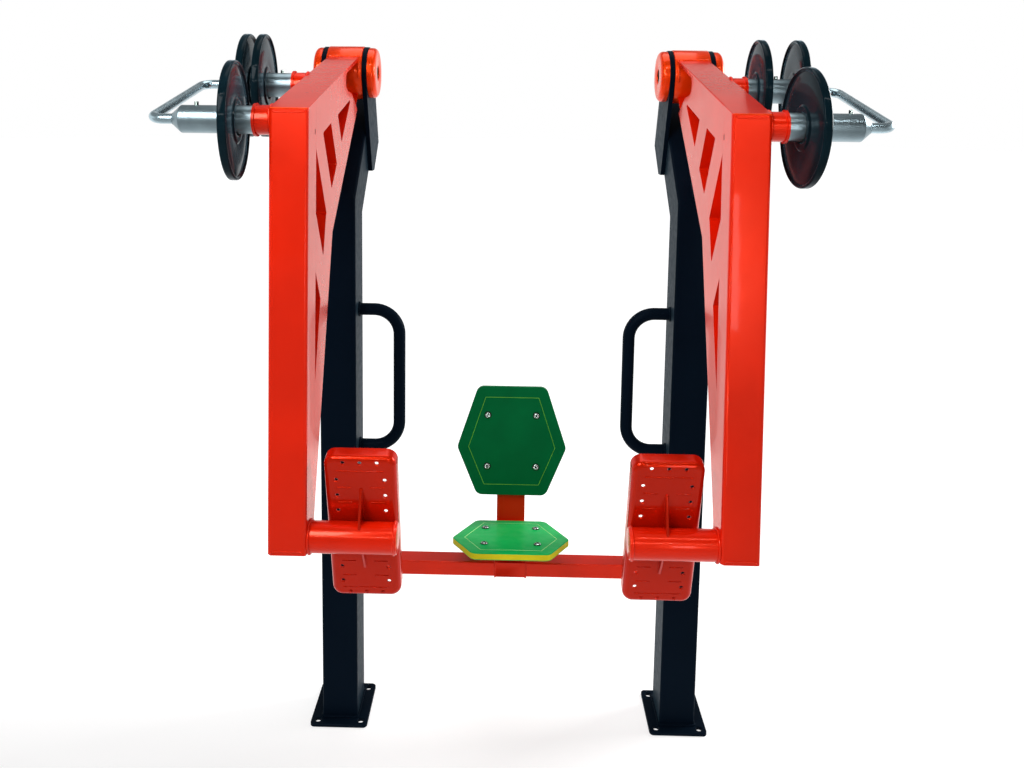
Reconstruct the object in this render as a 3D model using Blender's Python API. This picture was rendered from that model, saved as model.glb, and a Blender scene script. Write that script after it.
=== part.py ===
"""Outdoor leg machine: two weighted press arms hang from a pair of posts, one each side of a seat.

Frame: +X runs across the machine, +Y from the pedals back to the seat, +Z up from the ground.
Sizes along Y are given as reaches, measured from the front face of the posts: a reach forward
of it is written as a positive size and used with a minus sign. Everything hangs on one empty,
which puts the origin on the ground under the middle of the whole machine.
The pieces on the left are at -X and mirror those on the right.
"""

import math

import bmesh
import bpy
from mathutils import Matrix, Vector

# Fits, in metres
SEAT_GAP = 0.0003  # between faces that rest on each other
RUN_GAP = 0.0006  # between faces that turn or slide past each other
OVERRUN = 0.010  # how far a cutter runs past the face that it opens
EMBED = 0.002  # how deep a welded piece goes into the one that carries it

# Posts and their base plates
POST_SPACING = 0.9654
POST_WIDTH = 0.100
POST_DEPTH = 0.120
POST_WALL = 0.005
POST_BEND_HEIGHT = 1.512
POST_HEAD_MARGIN = 0.003  # how far the head's end stays inside the cheeks' rear edge
POST_HEAD_LEAN = math.radians(47.0)
BASE_WIDTH = 0.162
BASE_DEPTH = 0.182
BASE_THICKNESS = 0.010
BASE_TOE = 0.0315
BASE_CORNER = 0.012
ANCHOR_HOLE_RADIUS = 0.009
ANCHOR_INSET = 0.020

# Pivot head: cheek plates, shaft and hub caps
PIVOT_SETBACK = 0.182
PIVOT_RISE = 0.340  # above the post's bend
CHEEK_THICKNESS = 0.012
CHEEK_RADIUS = 0.073
CHEEK_LEAN = math.radians(23.0)
CHEEK_STRAP_LENGTH = 0.2754
CHEEK_TOE_WIDTH = 0.040
SHAFT_RADIUS = 0.020
SHAFT_PROUD = 0.014
CAP_RADIUS = 0.0705
CAP_DEPTH = 0.024
CAP_FILLET = 0.012
CAP_WALL = 0.005

# Hub that carries each arm
DRUM_RADIUS = 0.0745
DRUM_WALL = 0.008
DRUM_WEB = 0.010
DRUM_BOSS_WALL = 0.008
BUSH_RADIUS = 0.026

# Arm: a leaning front tube and the latticed box behind it
ARM_WIDTH = 0.084
ARM_WALL = 0.004
ARM_TOP_REACH = 0.503
ARM_TOP_DROP = 0.095  # the arm's top front corner under the pivot
ARM_FOOT_HEIGHT = 0.806
ARM_LEAN = math.radians(4.03)
FRONT_TUBE_DEPTH = 0.0778
TOP_CHORD_RISE = math.radians(12.53)
TOP_CHORD_DEPTH = 0.086
REAR_CHORD_RISE = math.radians(39.52)
REAR_CHORD_DEPTH = 0.084
REAR_BEND_REACH = 0.2635
REAR_BEND_DROP = 0.3915  # under the pivot
LOWER_CHORD_LEAN = math.radians(20.43)
DIAGONAL_COUNT = 3
DIAGONAL_LEAN = math.radians(33.5)
DIAGONAL_WIDTH = 0.078
DIAGONAL_PITCH = 0.164
DIAGONAL_START = 0.1135
WINDOW_CORNER = 0.004
VENT_LENGTH = 0.012
VENT_WIDTH = 0.006
VENT_DROP = 0.0465
VENT_INSET = 0.010
HUB_NOTCH_LENGTH = 0.258
HUB_NOTCH_MARGIN = 0.0105
HUB_NOTCH_DEPTH = 0.1455

# Foot tube and pedal
FOOT_TUBE_RADIUS = 0.034
FOOT_TUBE_WALL = 0.004
FOOT_TUBE_SETBACK = 0.0393  # its axis behind the arm's front face
FOOT_TUBE_RISE = 0.024  # its axis above the arm's foot
FOOT_TUBE_END = 0.250
PEDAL_CENTRE = 0.331
PEDAL_DROP = 0.009
PEDAL_WIDTH = 0.157
PEDAL_LENGTH = 0.385
PEDAL_DEPTH = 0.036
PEDAL_WALL = 0.004
PEDAL_CORNER = 0.022
PEDAL_TILT = math.radians(15.0)
PEDAL_HOLE_RADIUS = 0.004
PEDAL_ROW_HALF = 0.037
PEDAL_COLUMN_HALF = 0.0525
PEDAL_ROW_MARGIN = 0.014
PEDAL_UPPER_START = 0.0585
PEDAL_UPPER_COUNT = 3
PEDAL_LOWER_START = 0.0465
PEDAL_LOWER_COUNT = 2
PEDAL_ROW_PITCH = 0.041
RIB_THICKNESS = 0.005
RIB_UPPER_LENGTH = 0.112
RIB_LOWER_LENGTH = 0.125

# Weight sleeves, tie bars and weight plates
STUB_RADIUS = 0.032
STUB_LENGTH = 0.033
FLANGE_RADIUS = 0.036
FLANGE_THICKNESS = 0.0055
SLEEVE_RADIUS = 0.030
SLEEVE_WALL = 0.004
SLEEVE_LENGTH = 0.1565
CONE_LENGTH = 0.017
CONE_END_RADIUS = 0.015
FRONT_SLEEVE_DROP = 0.0238  # down the front tube from its top corner
FRONT_SLEEVE_SETBACK = 0.0398  # behind the front tube's front face
REAR_SLEEVE_REACH = 0.3805  # along the arm's top from the same corner
REAR_SLEEVE_DROP = 0.0303  # under the arm's top
TIE_RADIUS = 0.011
TIE_OUTREACH = 0.053
TIE_BEND_RADIUS = 0.028
PLATE_RADIUS = 0.128
PLATE_THICKNESS = 0.018
PLATE_WEB = 0.008
PLATE_RIM = 0.014
PLATE_BOSS_RADIUS = 0.052
PLATE_BORE_RADIUS = 0.0325
LOCK_PIN_RADIUS = 0.005
LOCK_PIN_PROUD = 0.008
LOCK_PIN_TIP = 0.001
LOCK_PIN_COLLAR = 0.0075
LOCK_PIN_COLLAR_LENGTH = 0.003
LOCK_PIN_TAIL_RADIUS = 0.003
LOCK_PIN_TRAVEL = 0.008

# How far each plate's middle hangs from the flange, and how far it is turned about the vertical
PLATE_PLACES = {
    "left_front_weight_plate": ("left", "front", 0.0450, math.radians(5.5)),
    "left_rear_inner_weight_plate": ("left", "rear", 0.0715, math.radians(4.0)),
    "left_rear_outer_weight_plate": ("left", "rear", 0.1110, math.radians(4.0)),
    "right_front_weight_plate": ("right", "front", 0.0400, math.radians(-2.5)),
    "right_rear_inner_weight_plate": ("right", "rear", 0.0310, math.radians(3.0)),
    "right_rear_outer_weight_plate": ("right", "rear", 0.1220, math.radians(3.5)),
}
# How far each lock pin stands from the flange
PIN_PLACES = {
    "left_front_lock_pin": ("left", "front", 0.1255),
    "left_rear_lock_pin": ("left", "rear", 0.0275),
    "right_front_lock_pin": ("right", "front", 0.1350),
    "right_rear_lock_pin": ("right", "rear", 0.0745),
}

# Grab handles
HANDLE_RADIUS = 0.0168
HANDLE_REACH_IN = 0.1127
HANDLE_SETBACK = 0.060
HANDLE_TOP_HEIGHT = 1.196
HANDLE_BOTTOM_HEIGHT = 0.803
HANDLE_BEND_RADIUS = 0.070

# Crossbeam and seat support
BEAM_DEPTH = 0.056
BEAM_HEIGHT = 0.042
BEAM_SETBACK = 0.032
BEAM_BOTTOM = 0.430
FRAME_WALL = 0.004
SUPPORT_WIDTH = 0.084
SUPPORT_FRONT_SETBACK = 0.030
UPRIGHT_LEAN = math.radians(8.0)
UPRIGHT_TOP = 0.850
BRACKET_WIDTH = 0.175
BRACKET_LENGTH = 0.185
BRACKET_THICKNESS = 0.005
GUSSET_SPACING = 0.060
GUSSET_START = 0.040
GUSSET_END = 0.165

# Seat and backrest boards, one hexagon for both
BOARD_LENGTH = 0.324
BOARD_WIDTH = 0.328
BOARD_END_WIDTH = 0.206
BOARD_WIDEST_SHARE = 0.437
BOARD_THICKNESS = 0.018
BOARD_CORNER = 0.024
BOARD_EDGE = 0.0025
SEAT_TILT = math.radians(11.5)
SEAT_FRONT_REACH = 0.130
SEAT_FRONT_HEIGHT = 0.586
BACKREST_BOTTOM_HEIGHT = 0.598
BOLT_HALF_ACROSS = 0.073
BOLT_HALF_ALONG = 0.0765
BOLT_HEAD_RADIUS = 0.009
BOLT_HEAD_HEIGHT = 0.005
BOLT_DOME_INSET = 0.003
BOLT_RADIUS = 0.004
BOLT_HOLE_RADIUS = 0.0045
BOLT_PAST_BRACKET = 0.006

# Rest stop that each arm leans on
STOP_ALONG_HEAD = 0.045
STOP_WIDTH = 0.050
STOP_OFFSET = 0.016  # outwards from the middle of the post
BUFFER_RADIUS = 0.022
BUFFER_THICKNESS = 0.025

# Facets: how many sides the round pieces get, and how many steps a rounded corner
ROUND_SIDES = 24
CAP_SIDES = 20
SMALL_SIDES = 12
HOLE_SIDES = 8
CORNER_STEPS = 3
BEND_STEPS = 5
TUBE_BEVEL_STEPS = 4
SHARP_ANGLE = math.radians(32.0)
BOARD_EDGE_ANGLE = math.radians(60.0)

# Worked out from the sizes above
POST_X = POST_SPACING / 2
POST_INNER_X = POST_X - POST_WIDTH / 2
POST_OUTER_X = POST_X + POST_WIDTH / 2
CHEEK_INNER_X = POST_INNER_X - SEAT_GAP
CHEEK_OUTER_X = POST_OUTER_X + SEAT_GAP
PIVOT = Vector((PIVOT_SETBACK, POST_BEND_HEIGHT + PIVOT_RISE))
ARM_INNER_X = POST_X - ARM_WIDTH / 2
ARM_OUTER_X = POST_X + ARM_WIDTH / 2
FLANGE_X = ARM_OUTER_X + STUB_LENGTH + FLANGE_THICKNESS
SLEEVE_START_X = FLANGE_X + SEAT_GAP
SLEEVE_END_X = SLEEVE_START_X + SLEEVE_LENGTH + CONE_LENGTH
PLATE_DROP = PLATE_BORE_RADIUS - SLEEVE_RADIUS - SEAT_GAP
SIDES = {"left": -1, "right": 1}
SUPPORT_TOP = BEAM_BOTTOM + BEAM_HEIGHT

# Colour, roughness and metallic value of each finish
FINISHES = {
    "red_paint": ((0.72, 0.055, 0.012), 0.25, 0.0),
    "dark_paint": ((0.012, 0.020, 0.028), 0.30, 0.0),
    "black_enamel": ((0.006, 0.010, 0.013), 0.18, 0.0),
    "silver_steel": ((0.48, 0.51, 0.53), 0.30, 0.9),
    "stainless": ((0.62, 0.63, 0.64), 0.25, 1.0),
    "bronze": ((0.50, 0.32, 0.14), 0.40, 1.0),
    "green_board": ((0.012, 0.26, 0.070), 0.45, 0.0),
    "black_rubber": ((0.010, 0.010, 0.010), 0.80, 0.0),
}


# Flat geometry, in pairs of coordinates

def leaning(angle):
    """The unit direction that leans back from the vertical by an angle."""
    return Vector((math.sin(angle), math.cos(angle)))


def rising(angle):
    """The unit direction that runs back and rises by an angle."""
    return Vector((math.cos(angle), math.sin(angle)))


def left_of(direction):
    return Vector((-direction.y, direction.x))


def crossing(first, first_direction, second, second_direction):
    """Where the line through one point meets the line through the other."""
    along = (second - first).cross(second_direction) / first_direction.cross(second_direction)
    return first + first_direction * along


def inset(outline, distance):
    """An anticlockwise outline drawn in on every side, or drawn out by a negative distance."""
    drawn = []
    for i, here in enumerate(outline):
        arriving = (here - outline[i - 1]).normalized()
        leaving = (outline[(i + 1) % len(outline)] - here).normalized()
        first = here + left_of(arriving) * distance
        second = here + left_of(leaving) * distance
        drawn.append(crossing(first, arriving, second, leaving))
    return drawn


def rounded(outline, radius, steps=CORNER_STEPS):
    """The outline with each corner replaced by an arc that touches both of its sides."""
    points = []
    for i, corner in enumerate(outline):
        back = (outline[i - 1] - corner).normalized()
        on = (outline[(i + 1) % len(outline)] - corner).normalized()
        half = back.angle(on) / 2
        middle = corner + (back + on).normalized() * (radius / math.sin(half))
        start = corner + back * (radius / math.tan(half)) - middle
        turn = math.copysign(math.pi - 2 * half, start.cross(-back))
        for step in range(steps + 1):
            angle = turn * step / steps
            points.append(middle + Matrix.Rotation(angle, 2) @ start)
    return points


def kept_left(outline, point, direction):
    """The part of an outline on the left of a line."""
    kept = []
    for i, here in enumerate(outline):
        before = outline[i - 1]
        here_inside = direction.cross(here - point) >= 0
        if here_inside != (direction.cross(before - point) >= 0):
            kept.append(crossing(before, here - before, point, direction))
        if here_inside:
            kept.append(here)
    return kept


def without_nicks(outline, least):
    """The outline without any corner that lies nearer than a distance to the one before it."""
    return [here for i, here in enumerate(outline) if (here - outline[i - 1]).length > least]


def rectangle(width, length):
    half = Vector((width / 2, length / 2))
    return [Vector((x * half.x, y * half.y)) for x, y in ((-1, -1), (1, -1), (1, 1), (-1, 1))]


# Solids

def add_prism(bm, outline, low, high, place):
    """A prism whose ends are the outline at two distances, each point placed by a function."""
    ends = [[bm.verts.new(place(point, far)) for point in outline] for far in (low, high)]
    bm.faces.new(ends[0])
    bm.faces.new(reversed(ends[1]))
    for i in range(len(outline)):
        bm.faces.new((ends[0][i - 1], ends[1][i - 1], ends[1][i], ends[0][i]))


def along_x(point, far):
    return Vector((far, point.x, point.y))


def along_z(point, far):
    return Vector((point.x, point.y, far))


def add_turned(bm, profile, sides, place, closed=False):
    """A turned solid: the profile's pairs are a distance along the axis and a radius."""
    rings = []
    for along, radius in profile:
        ring = []
        for side in range(sides):
            angle = math.tau * side / sides
            ring.append(bm.verts.new(place(Vector((math.cos(angle), math.sin(angle))) * radius, along)))
        rings.append(ring)
    for i in range(0 if closed else 1, len(rings)):
        for side in range(sides):
            corners = (rings[i - 1][side - 1], rings[i - 1][side], rings[i][side], rings[i][side - 1])
            bm.faces.new(corners)
    if not closed:
        bm.faces.new(rings[0])
        bm.faces.new(rings[-1])


def at(place, centre, low=0.0):
    """The placing function moved to a centre, and by a distance along its axis."""
    return lambda point, far: place(point + centre, far + low)


def tilted(origin, angle):
    """Places a board's points: across the machine, along the board and out of its face."""
    turn = Matrix.Rotation(angle, 3, "X")
    return lambda point, far: origin + turn @ Vector((point.x, point.y, far))


def finished(name, data, parent, finish, origin):
    """Names the object, gives it its own material and hangs it on its parent where it was drawn."""
    colour, roughness, metallic = FINISHES[finish]
    material = bpy.data.materials.new(name + "_" + finish)
    material.use_nodes = True
    shader = material.node_tree.nodes["Principled BSDF"]
    shader.inputs["Base Color"].default_value = (*colour, 1.0)
    shader.inputs["Roughness"].default_value = roughness
    shader.inputs["Metallic"].default_value = metallic
    material.diffuse_color = (*colour, 1.0)
    data.materials.append(material)
    data.transform(Matrix.Translation(-origin))
    thing = bpy.data.objects.new(name, data)
    bpy.context.collection.objects.link(thing)
    thing.location = origin
    hang(thing, parent)
    return thing


def hang(thing, parent):
    """Parents a thing so that it stays where it was drawn in the machine's own frame."""
    thing.parent = parent
    if parent.parent is not None:
        thing.matrix_parent_inverse = Matrix.Translation(-parent.location)


def solid(name, bm, parent, finish, origin=None):
    bmesh.ops.recalc_face_normals(bm, faces=bm.faces)
    mesh = bpy.data.meshes.new(name)
    bm.to_mesh(mesh)
    bm.free()
    mesh.shade_smooth()
    mesh.set_sharp_from_angle(angle=SHARP_ANGLE)
    return finished(name, mesh, parent, finish, origin or Vector())


def guide(name, bm, parent):
    """A helper for a Boolean, which isn't a piece of the machine."""
    helper = solid(name, bm, parent, "dark_paint")
    helper.hide_render = True
    helper.display_type = "WIRE"
    return helper


def combine(thing, operation, helper):
    boolean = thing.modifiers.new(helper.name, "BOOLEAN")
    boolean.operation = operation
    boolean.object = helper


def tube(name, points, radius, parent, finish):
    """A round bar along a route, with closed ends."""
    curve = bpy.data.curves.new(name, "CURVE")
    curve.dimensions = "3D"
    curve.bevel_depth = radius
    curve.bevel_resolution = TUBE_BEVEL_STEPS
    curve.use_fill_caps = True
    spline = curve.splines.new("POLY")
    spline.points.add(len(points) - 1)
    for spot, point in zip(spline.points, points):
        spot.co = (*point, 1.0)
    return finished(name, curve, parent, finish, Vector())


def bent_route(corners, radius):
    """A route in space through its end points, with an arc at each corner between them."""
    route = [corners[0]]
    for i in range(1, len(corners) - 1):
        corner = corners[i]
        back = (corners[i - 1] - corner).normalized()
        on = (corners[i + 1] - corner).normalized()
        half = back.angle(on) / 2
        middle = corner + (back + on).normalized() * (radius / math.sin(half))
        start = corner + back * (radius / math.tan(half)) - middle
        turn = math.pi - 2 * half
        axis = back.cross(on)
        for step in range(BEND_STEPS + 1):
            route.append(middle + Matrix.Rotation(-turn * step / BEND_STEPS, 3, axis) @ start)
    route.append(corners[-1])
    return route


# Posts, base plates and pivot heads

def cheek_edges():
    """The cheeks' direction down the strap, and a point on their front and on their rear edge."""
    strap = Vector((math.sin(CHEEK_LEAN), -math.cos(CHEEK_LEAN)))
    rearward = left_of(strap)
    return strap, PIVOT - rearward * CHEEK_RADIUS, PIVOT + rearward * CHEEK_RADIUS


def post_outline(wall, foot_run, head_run):
    """Front and back faces of the bent post, drawn in by its wall and run on at each end.

    The head ends along the cheeks' rear edge, so that the cheeks close on its whole width.
    """
    head = leaning(POST_HEAD_LEAN)
    across = Vector((head.y, -head.x))
    mitre = math.tan(POST_HEAD_LEAN / 2)
    bend = Vector((0.0, POST_BEND_HEIGHT))
    far_depth = POST_DEPTH - wall
    strap, _, rear = cheek_edges()
    end = rear + left_of(strap) * (head_run - POST_HEAD_MARGIN)
    foot = BASE_THICKNESS + SEAT_GAP - foot_run
    return [
        Vector((wall, foot)),
        Vector((far_depth, foot)),
        Vector((far_depth, POST_BEND_HEIGHT - far_depth * mitre)),
        crossing(bend + across * far_depth, head, end, strap),
        crossing(bend + across * wall, head, end, strap),
        Vector((wall, POST_BEND_HEIGHT - wall * mitre)),
    ]


def chord_line():
    """A point on the arm's rear chord, at its bend, and the direction in which the chord rises."""
    return Vector((-REAR_BEND_REACH, PIVOT.y - REAR_BEND_DROP)), rising(REAR_CHORD_RISE)


def stop_line():
    """Where the rest stop starts on the post's head, its direction, and its reach to the arm."""
    start = Vector((0.0, POST_BEND_HEIGHT)) + leaning(POST_HEAD_LEAN) * STOP_ALONG_HEAD
    bend, rise = chord_line()
    direction = left_of(rise)
    return start, direction, direction.dot(bend - start)


def build_post(side, hand, machine):
    x = side * POST_X
    bm = bmesh.new()
    add_prism(bm, post_outline(0.0, 0.0, 0.0), x - POST_WIDTH / 2, x + POST_WIDTH / 2, along_x)
    post = solid(hand + "_post", bm, machine, "dark_paint")

    bore = bmesh.new()
    half = POST_WIDTH / 2 - POST_WALL
    add_prism(bore, post_outline(POST_WALL, OVERRUN, -POST_WALL), x - half, x + half, along_x)
    combine(post, "DIFFERENCE", guide(hand + "_post_hollow", bore, machine))

    start, direction, reach = stop_line()
    end = start + direction * (reach - BUFFER_THICKNESS - 2 * SEAT_GAP)
    root = start - direction * EMBED
    aside = left_of(direction) * (STOP_WIDTH / 2)
    stop_x = x + side * STOP_OFFSET
    stub = bmesh.new()
    outline = [root - aside, end - aside, end + aside, root + aside]
    add_prism(stub, outline, stop_x - STOP_WIDTH / 2, stop_x + STOP_WIDTH / 2, along_x)
    combine(post, "UNION", guide(hand + "_stop_stub", stub, machine))

    buffer = bmesh.new()
    low = end + direction * SEAT_GAP

    def place(point, far):
        spot = low + direction * far + left_of(direction) * point.x
        return Vector((stop_x + point.y, spot.x, spot.y))

    add_turned(buffer, [(0.0, BUFFER_RADIUS), (BUFFER_THICKNESS, BUFFER_RADIUS)], CAP_SIDES, place)
    solid(hand + "_arm_stop_buffer", buffer, machine, "black_rubber")


def build_base_plate(side, hand, machine):
    middle = Vector((side * POST_X, BASE_DEPTH / 2 - BASE_TOE))
    bm = bmesh.new()
    outline = [point + middle for point in rounded(rectangle(BASE_WIDTH, BASE_DEPTH), BASE_CORNER)]
    add_prism(bm, outline, 0.0, BASE_THICKNESS, along_z)
    plate = solid(hand + "_base_plate", bm, machine, "dark_paint")
    holes = bmesh.new()
    for corner in rectangle(BASE_WIDTH - 2 * ANCHOR_INSET, BASE_DEPTH - 2 * ANCHOR_INSET):
        profile = [(-OVERRUN, ANCHOR_HOLE_RADIUS), (BASE_THICKNESS + OVERRUN, ANCHOR_HOLE_RADIUS)]
        add_turned(holes, profile, HOLE_SIDES, at(along_z, corner + middle))
    combine(plate, "DIFFERENCE", guide(hand + "_anchor_holes", holes, machine))


def cheek_outline():
    """Round head about the pivot, leaning strap, and a corner cut along the post's head."""
    strap, front, rear = cheek_edges()
    toe = front + strap * CHEEK_STRAP_LENGTH
    heel = toe + Vector((CHEEK_TOE_WIDTH, 0.0))
    corner = crossing(heel, leaning(POST_HEAD_LEAN), rear, strap)
    points = [toe, heel, corner]
    half_turn = ROUND_SIDES // 2
    for step in range(half_turn + 1):
        turn = Matrix.Rotation(math.pi * step / half_turn, 2)
        points.append(PIVOT + turn @ (rear - PIVOT))
    return points


def build_pivot_head(side, hand, machine):
    faces = {"inner": (CHEEK_INNER_X, -1), "outer": (CHEEK_OUTER_X, 1)}
    for which, (face, outward) in faces.items():
        start = side * face
        outward *= side
        bm = bmesh.new()
        add_prism(bm, cheek_outline(), start, start + outward * CHEEK_THICKNESS, along_x)
        cheek = solid(f"{hand}_{which}_pivot_cheek", bm, machine, "dark_paint")
        bore = bmesh.new()
        ends = [start - outward * OVERRUN, start + outward * (CHEEK_THICKNESS + OVERRUN)]
        profile = [(end, SHAFT_RADIUS + SEAT_GAP) for end in ends]
        add_turned(bore, profile, ROUND_SIDES, at(along_x, PIVOT))
        combine(cheek, "DIFFERENCE", guide(f"{hand}_{which}_cheek_bore", bore, machine))

        cap_face = start + outward * (CHEEK_THICKNESS + SEAT_GAP)
        build_hub_cap(f"{hand}_{which}_hub_cap", cap_face, outward, machine)

    proud = CHEEK_THICKNESS + SHAFT_PROUD
    shaft = bmesh.new()
    low = side * (CHEEK_INNER_X - proud)
    high = side * (CHEEK_OUTER_X + proud)
    add_turned(shaft, [(low, SHAFT_RADIUS), (high, SHAFT_RADIUS)], ROUND_SIDES, at(along_x, PIVOT))
    solid(hand + "_pivot_shaft", shaft, machine, "silver_steel")


def build_hub_cap(name, face, outward, machine):
    """A domed cover over the end of the shaft: a cup with a rounded rim and a bored boss."""
    profile = [(0.0, CAP_RADIUS)]
    shoulder = CAP_DEPTH - CAP_FILLET
    for step in range(CORNER_STEPS + 1):
        angle = math.radians(90) * step / CORNER_STEPS
        rim = CAP_RADIUS - CAP_FILLET + CAP_FILLET * math.cos(angle)
        profile.append((shoulder + CAP_FILLET * math.sin(angle), rim))
    bore = SHAFT_RADIUS + SEAT_GAP
    profile += [(CAP_DEPTH, bore), (0.0, bore), (0.0, bore + CAP_WALL)]
    profile += [(CAP_DEPTH - CAP_WALL, bore + CAP_WALL)]
    profile += [(CAP_DEPTH - CAP_WALL, CAP_RADIUS - CAP_FILLET), (0.0, CAP_RADIUS - CAP_WALL)]
    placed = [(face + outward * along, radius) for along, radius in profile]
    bm = bmesh.new()
    add_turned(bm, placed, CAP_SIDES, at(along_x, PIVOT), closed=True)
    solid(name, bm, machine, "red_paint")


# Arms

def front_tube_lines():
    """The front tube's front and rear faces: a point on each, and their common direction."""
    down = Vector((-math.sin(ARM_LEAN), -math.cos(ARM_LEAN)))
    front = Vector((-ARM_TOP_REACH, PIVOT.y - ARM_TOP_DROP))
    return front, front + left_of(down) * FRONT_TUBE_DEPTH, down


def sleeve_axes():
    """Where the two weight sleeves cross the side view, each set out from the arm's top corner."""
    front, _, down = front_tube_lines()
    top = rising(TOP_CHORD_RISE)
    return {
        "front": front + down * FRONT_SLEEVE_DROP + left_of(down) * FRONT_SLEEVE_SETBACK,
        "rear": front + top * REAR_SLEEVE_REACH - left_of(top) * REAR_SLEEVE_DROP,
    }


def foot_axis():
    """Where the foot tube crosses the side view: behind the front tube's face, above its foot."""
    front, _, down = front_tube_lines()
    level = Vector((0.0, ARM_FOOT_HEIGHT + FOOT_TUBE_RISE))
    return crossing(front, down, level, Vector((1.0, 0.0))) + Vector((FOOT_TUBE_SETBACK, 0.0))


SLEEVE_AXES = sleeve_axes()
FOOT_AXIS = foot_axis()


def front_tube_outline():
    front, rear, down = front_tube_lines()
    foot = Vector((0.0, ARM_FOOT_HEIGHT))
    level = Vector((1.0, 0.0))
    top = rising(TOP_CHORD_RISE)
    return [
        front,
        crossing(front, down, foot, level),
        crossing(rear, down, foot, level),
        crossing(rear, down, front, top),
    ]


def lattice_outline():
    """The box behind the front tube, drawn on past the hub's centre, which the hub then cuts."""
    front, rear, down = front_tube_lines()
    face = rear + left_of(down) * SEAT_GAP
    top = rising(TOP_CHORD_RISE)
    bend, rise = chord_line()
    lower = leaning(LOWER_CHORD_LEAN)
    return [
        crossing(face, down, front, top),
        crossing(face, down, bend, lower),
        bend,
        bend + rise * rise.dot(PIVOT - bend),
        PIVOT,
        front + top * top.dot(PIVOT - front),
    ]


def lattice_windows():
    """The openings between the lattice's chords and its diagonals."""
    front, rear, down = front_tube_lines()
    top = rising(TOP_CHORD_RISE)
    bend, rise = chord_line()
    lower = leaning(LOWER_CHORD_LEAN)
    under_top = front - left_of(top) * TOP_CHORD_DEPTH
    over_rear = bend + left_of(rise) * REAR_CHORD_DEPTH
    over_lower = bend + left_of(lower) * REAR_CHORD_DEPTH
    inside_tube = rear - left_of(down) * OVERRUN
    field = [
        crossing(inside_tube, down, over_lower, lower),
        crossing(over_lower, lower, over_rear, rise),
        crossing(over_rear, rise, under_top, top),
        crossing(under_top, top, inside_tube, down),
    ]
    slant = Vector((math.sin(DIAGONAL_LEAN), -math.cos(DIAGONAL_LEAN)))
    upward = left_of(slant)
    half = DIAGONAL_WIDTH / 2
    windows = []
    for bay in range(DIAGONAL_COUNT + 1):
        window = field
        upper = DIAGONAL_PITCH * bay - DIAGONAL_START
        if bay < DIAGONAL_COUNT:
            window = kept_left(window, front + upward * (upper - half), -slant)
        if bay > 0:
            window = kept_left(window, front + upward * (upper - DIAGONAL_PITCH + half), slant)
        windows.append(without_nicks(window, WINDOW_CORNER))
    return windows


def notch_outline():
    """The leaf-shaped notch that bares the drum: along the top chord, round, and down the back."""
    front, _, _ = front_tube_lines()
    top = rising(TOP_CHORD_RISE)
    foot = front + top * top.dot(PIVOT - front)
    length_shares = (0.00, 0.95, 1.00, 1.00, 0.93, 0.72, 0.39, 0.00)
    depth_shares = (0.000, 0.000, 0.085, 0.255, 0.350, 0.485, 1.000, 1.000)
    depth = HUB_NOTCH_DEPTH - HUB_NOTCH_MARGIN
    points = []
    for along, down in zip(length_shares, depth_shares):
        drop = HUB_NOTCH_MARGIN + depth * down
        points.append(foot - top * (HUB_NOTCH_LENGTH * along) - left_of(top) * drop)
    return points


def add_stub(bm, side, axis):
    """The short round stub and flange that carry a weight sleeve."""
    profile = [
        (ARM_OUTER_X - EMBED, STUB_RADIUS),
        (ARM_OUTER_X + STUB_LENGTH, STUB_RADIUS),
        (ARM_OUTER_X + STUB_LENGTH, FLANGE_RADIUS),
        (FLANGE_X, FLANGE_RADIUS),
    ]
    placed = [(side * along, radius) for along, radius in profile]
    add_turned(bm, placed, CAP_SIDES, at(along_x, axis))


def build_front_tube(side, hand, machine, arm):
    low, high = sorted((side * ARM_INNER_X, side * ARM_OUTER_X))
    bm = bmesh.new()
    add_prism(bm, front_tube_outline(), low, high, along_x)
    front_tube = solid(hand + "_arm_front_tube", bm, arm, "red_paint", pivot_point(side))

    hollow = bmesh.new()
    add_prism(hollow, inset(front_tube_outline(), ARM_WALL), low + ARM_WALL, high - ARM_WALL, along_x)
    front, rear, down = front_tube_lines()
    vent = rear + down * VENT_DROP - left_of(down) * VENT_INSET
    slot = [vent + point.y * down + point.x * left_of(down) for point in rectangle(VENT_WIDTH, VENT_LENGTH)]
    vent_cut = bmesh.new()
    vent_ends = (side * (ARM_INNER_X - OVERRUN), side * (ARM_INNER_X + ARM_WALL + EMBED))
    add_prism(vent_cut, slot, *vent_ends, along_x)
    stub = bmesh.new()
    add_stub(stub, side, SLEEVE_AXES["front"])
    combine(front_tube, "DIFFERENCE", guide(hand + "_front_tube_hollow", hollow, machine))
    combine(front_tube, "DIFFERENCE", guide(hand + "_vent_slot", vent_cut, machine))
    combine(front_tube, "UNION", guide(hand + "_front_stub", stub, machine))


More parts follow.
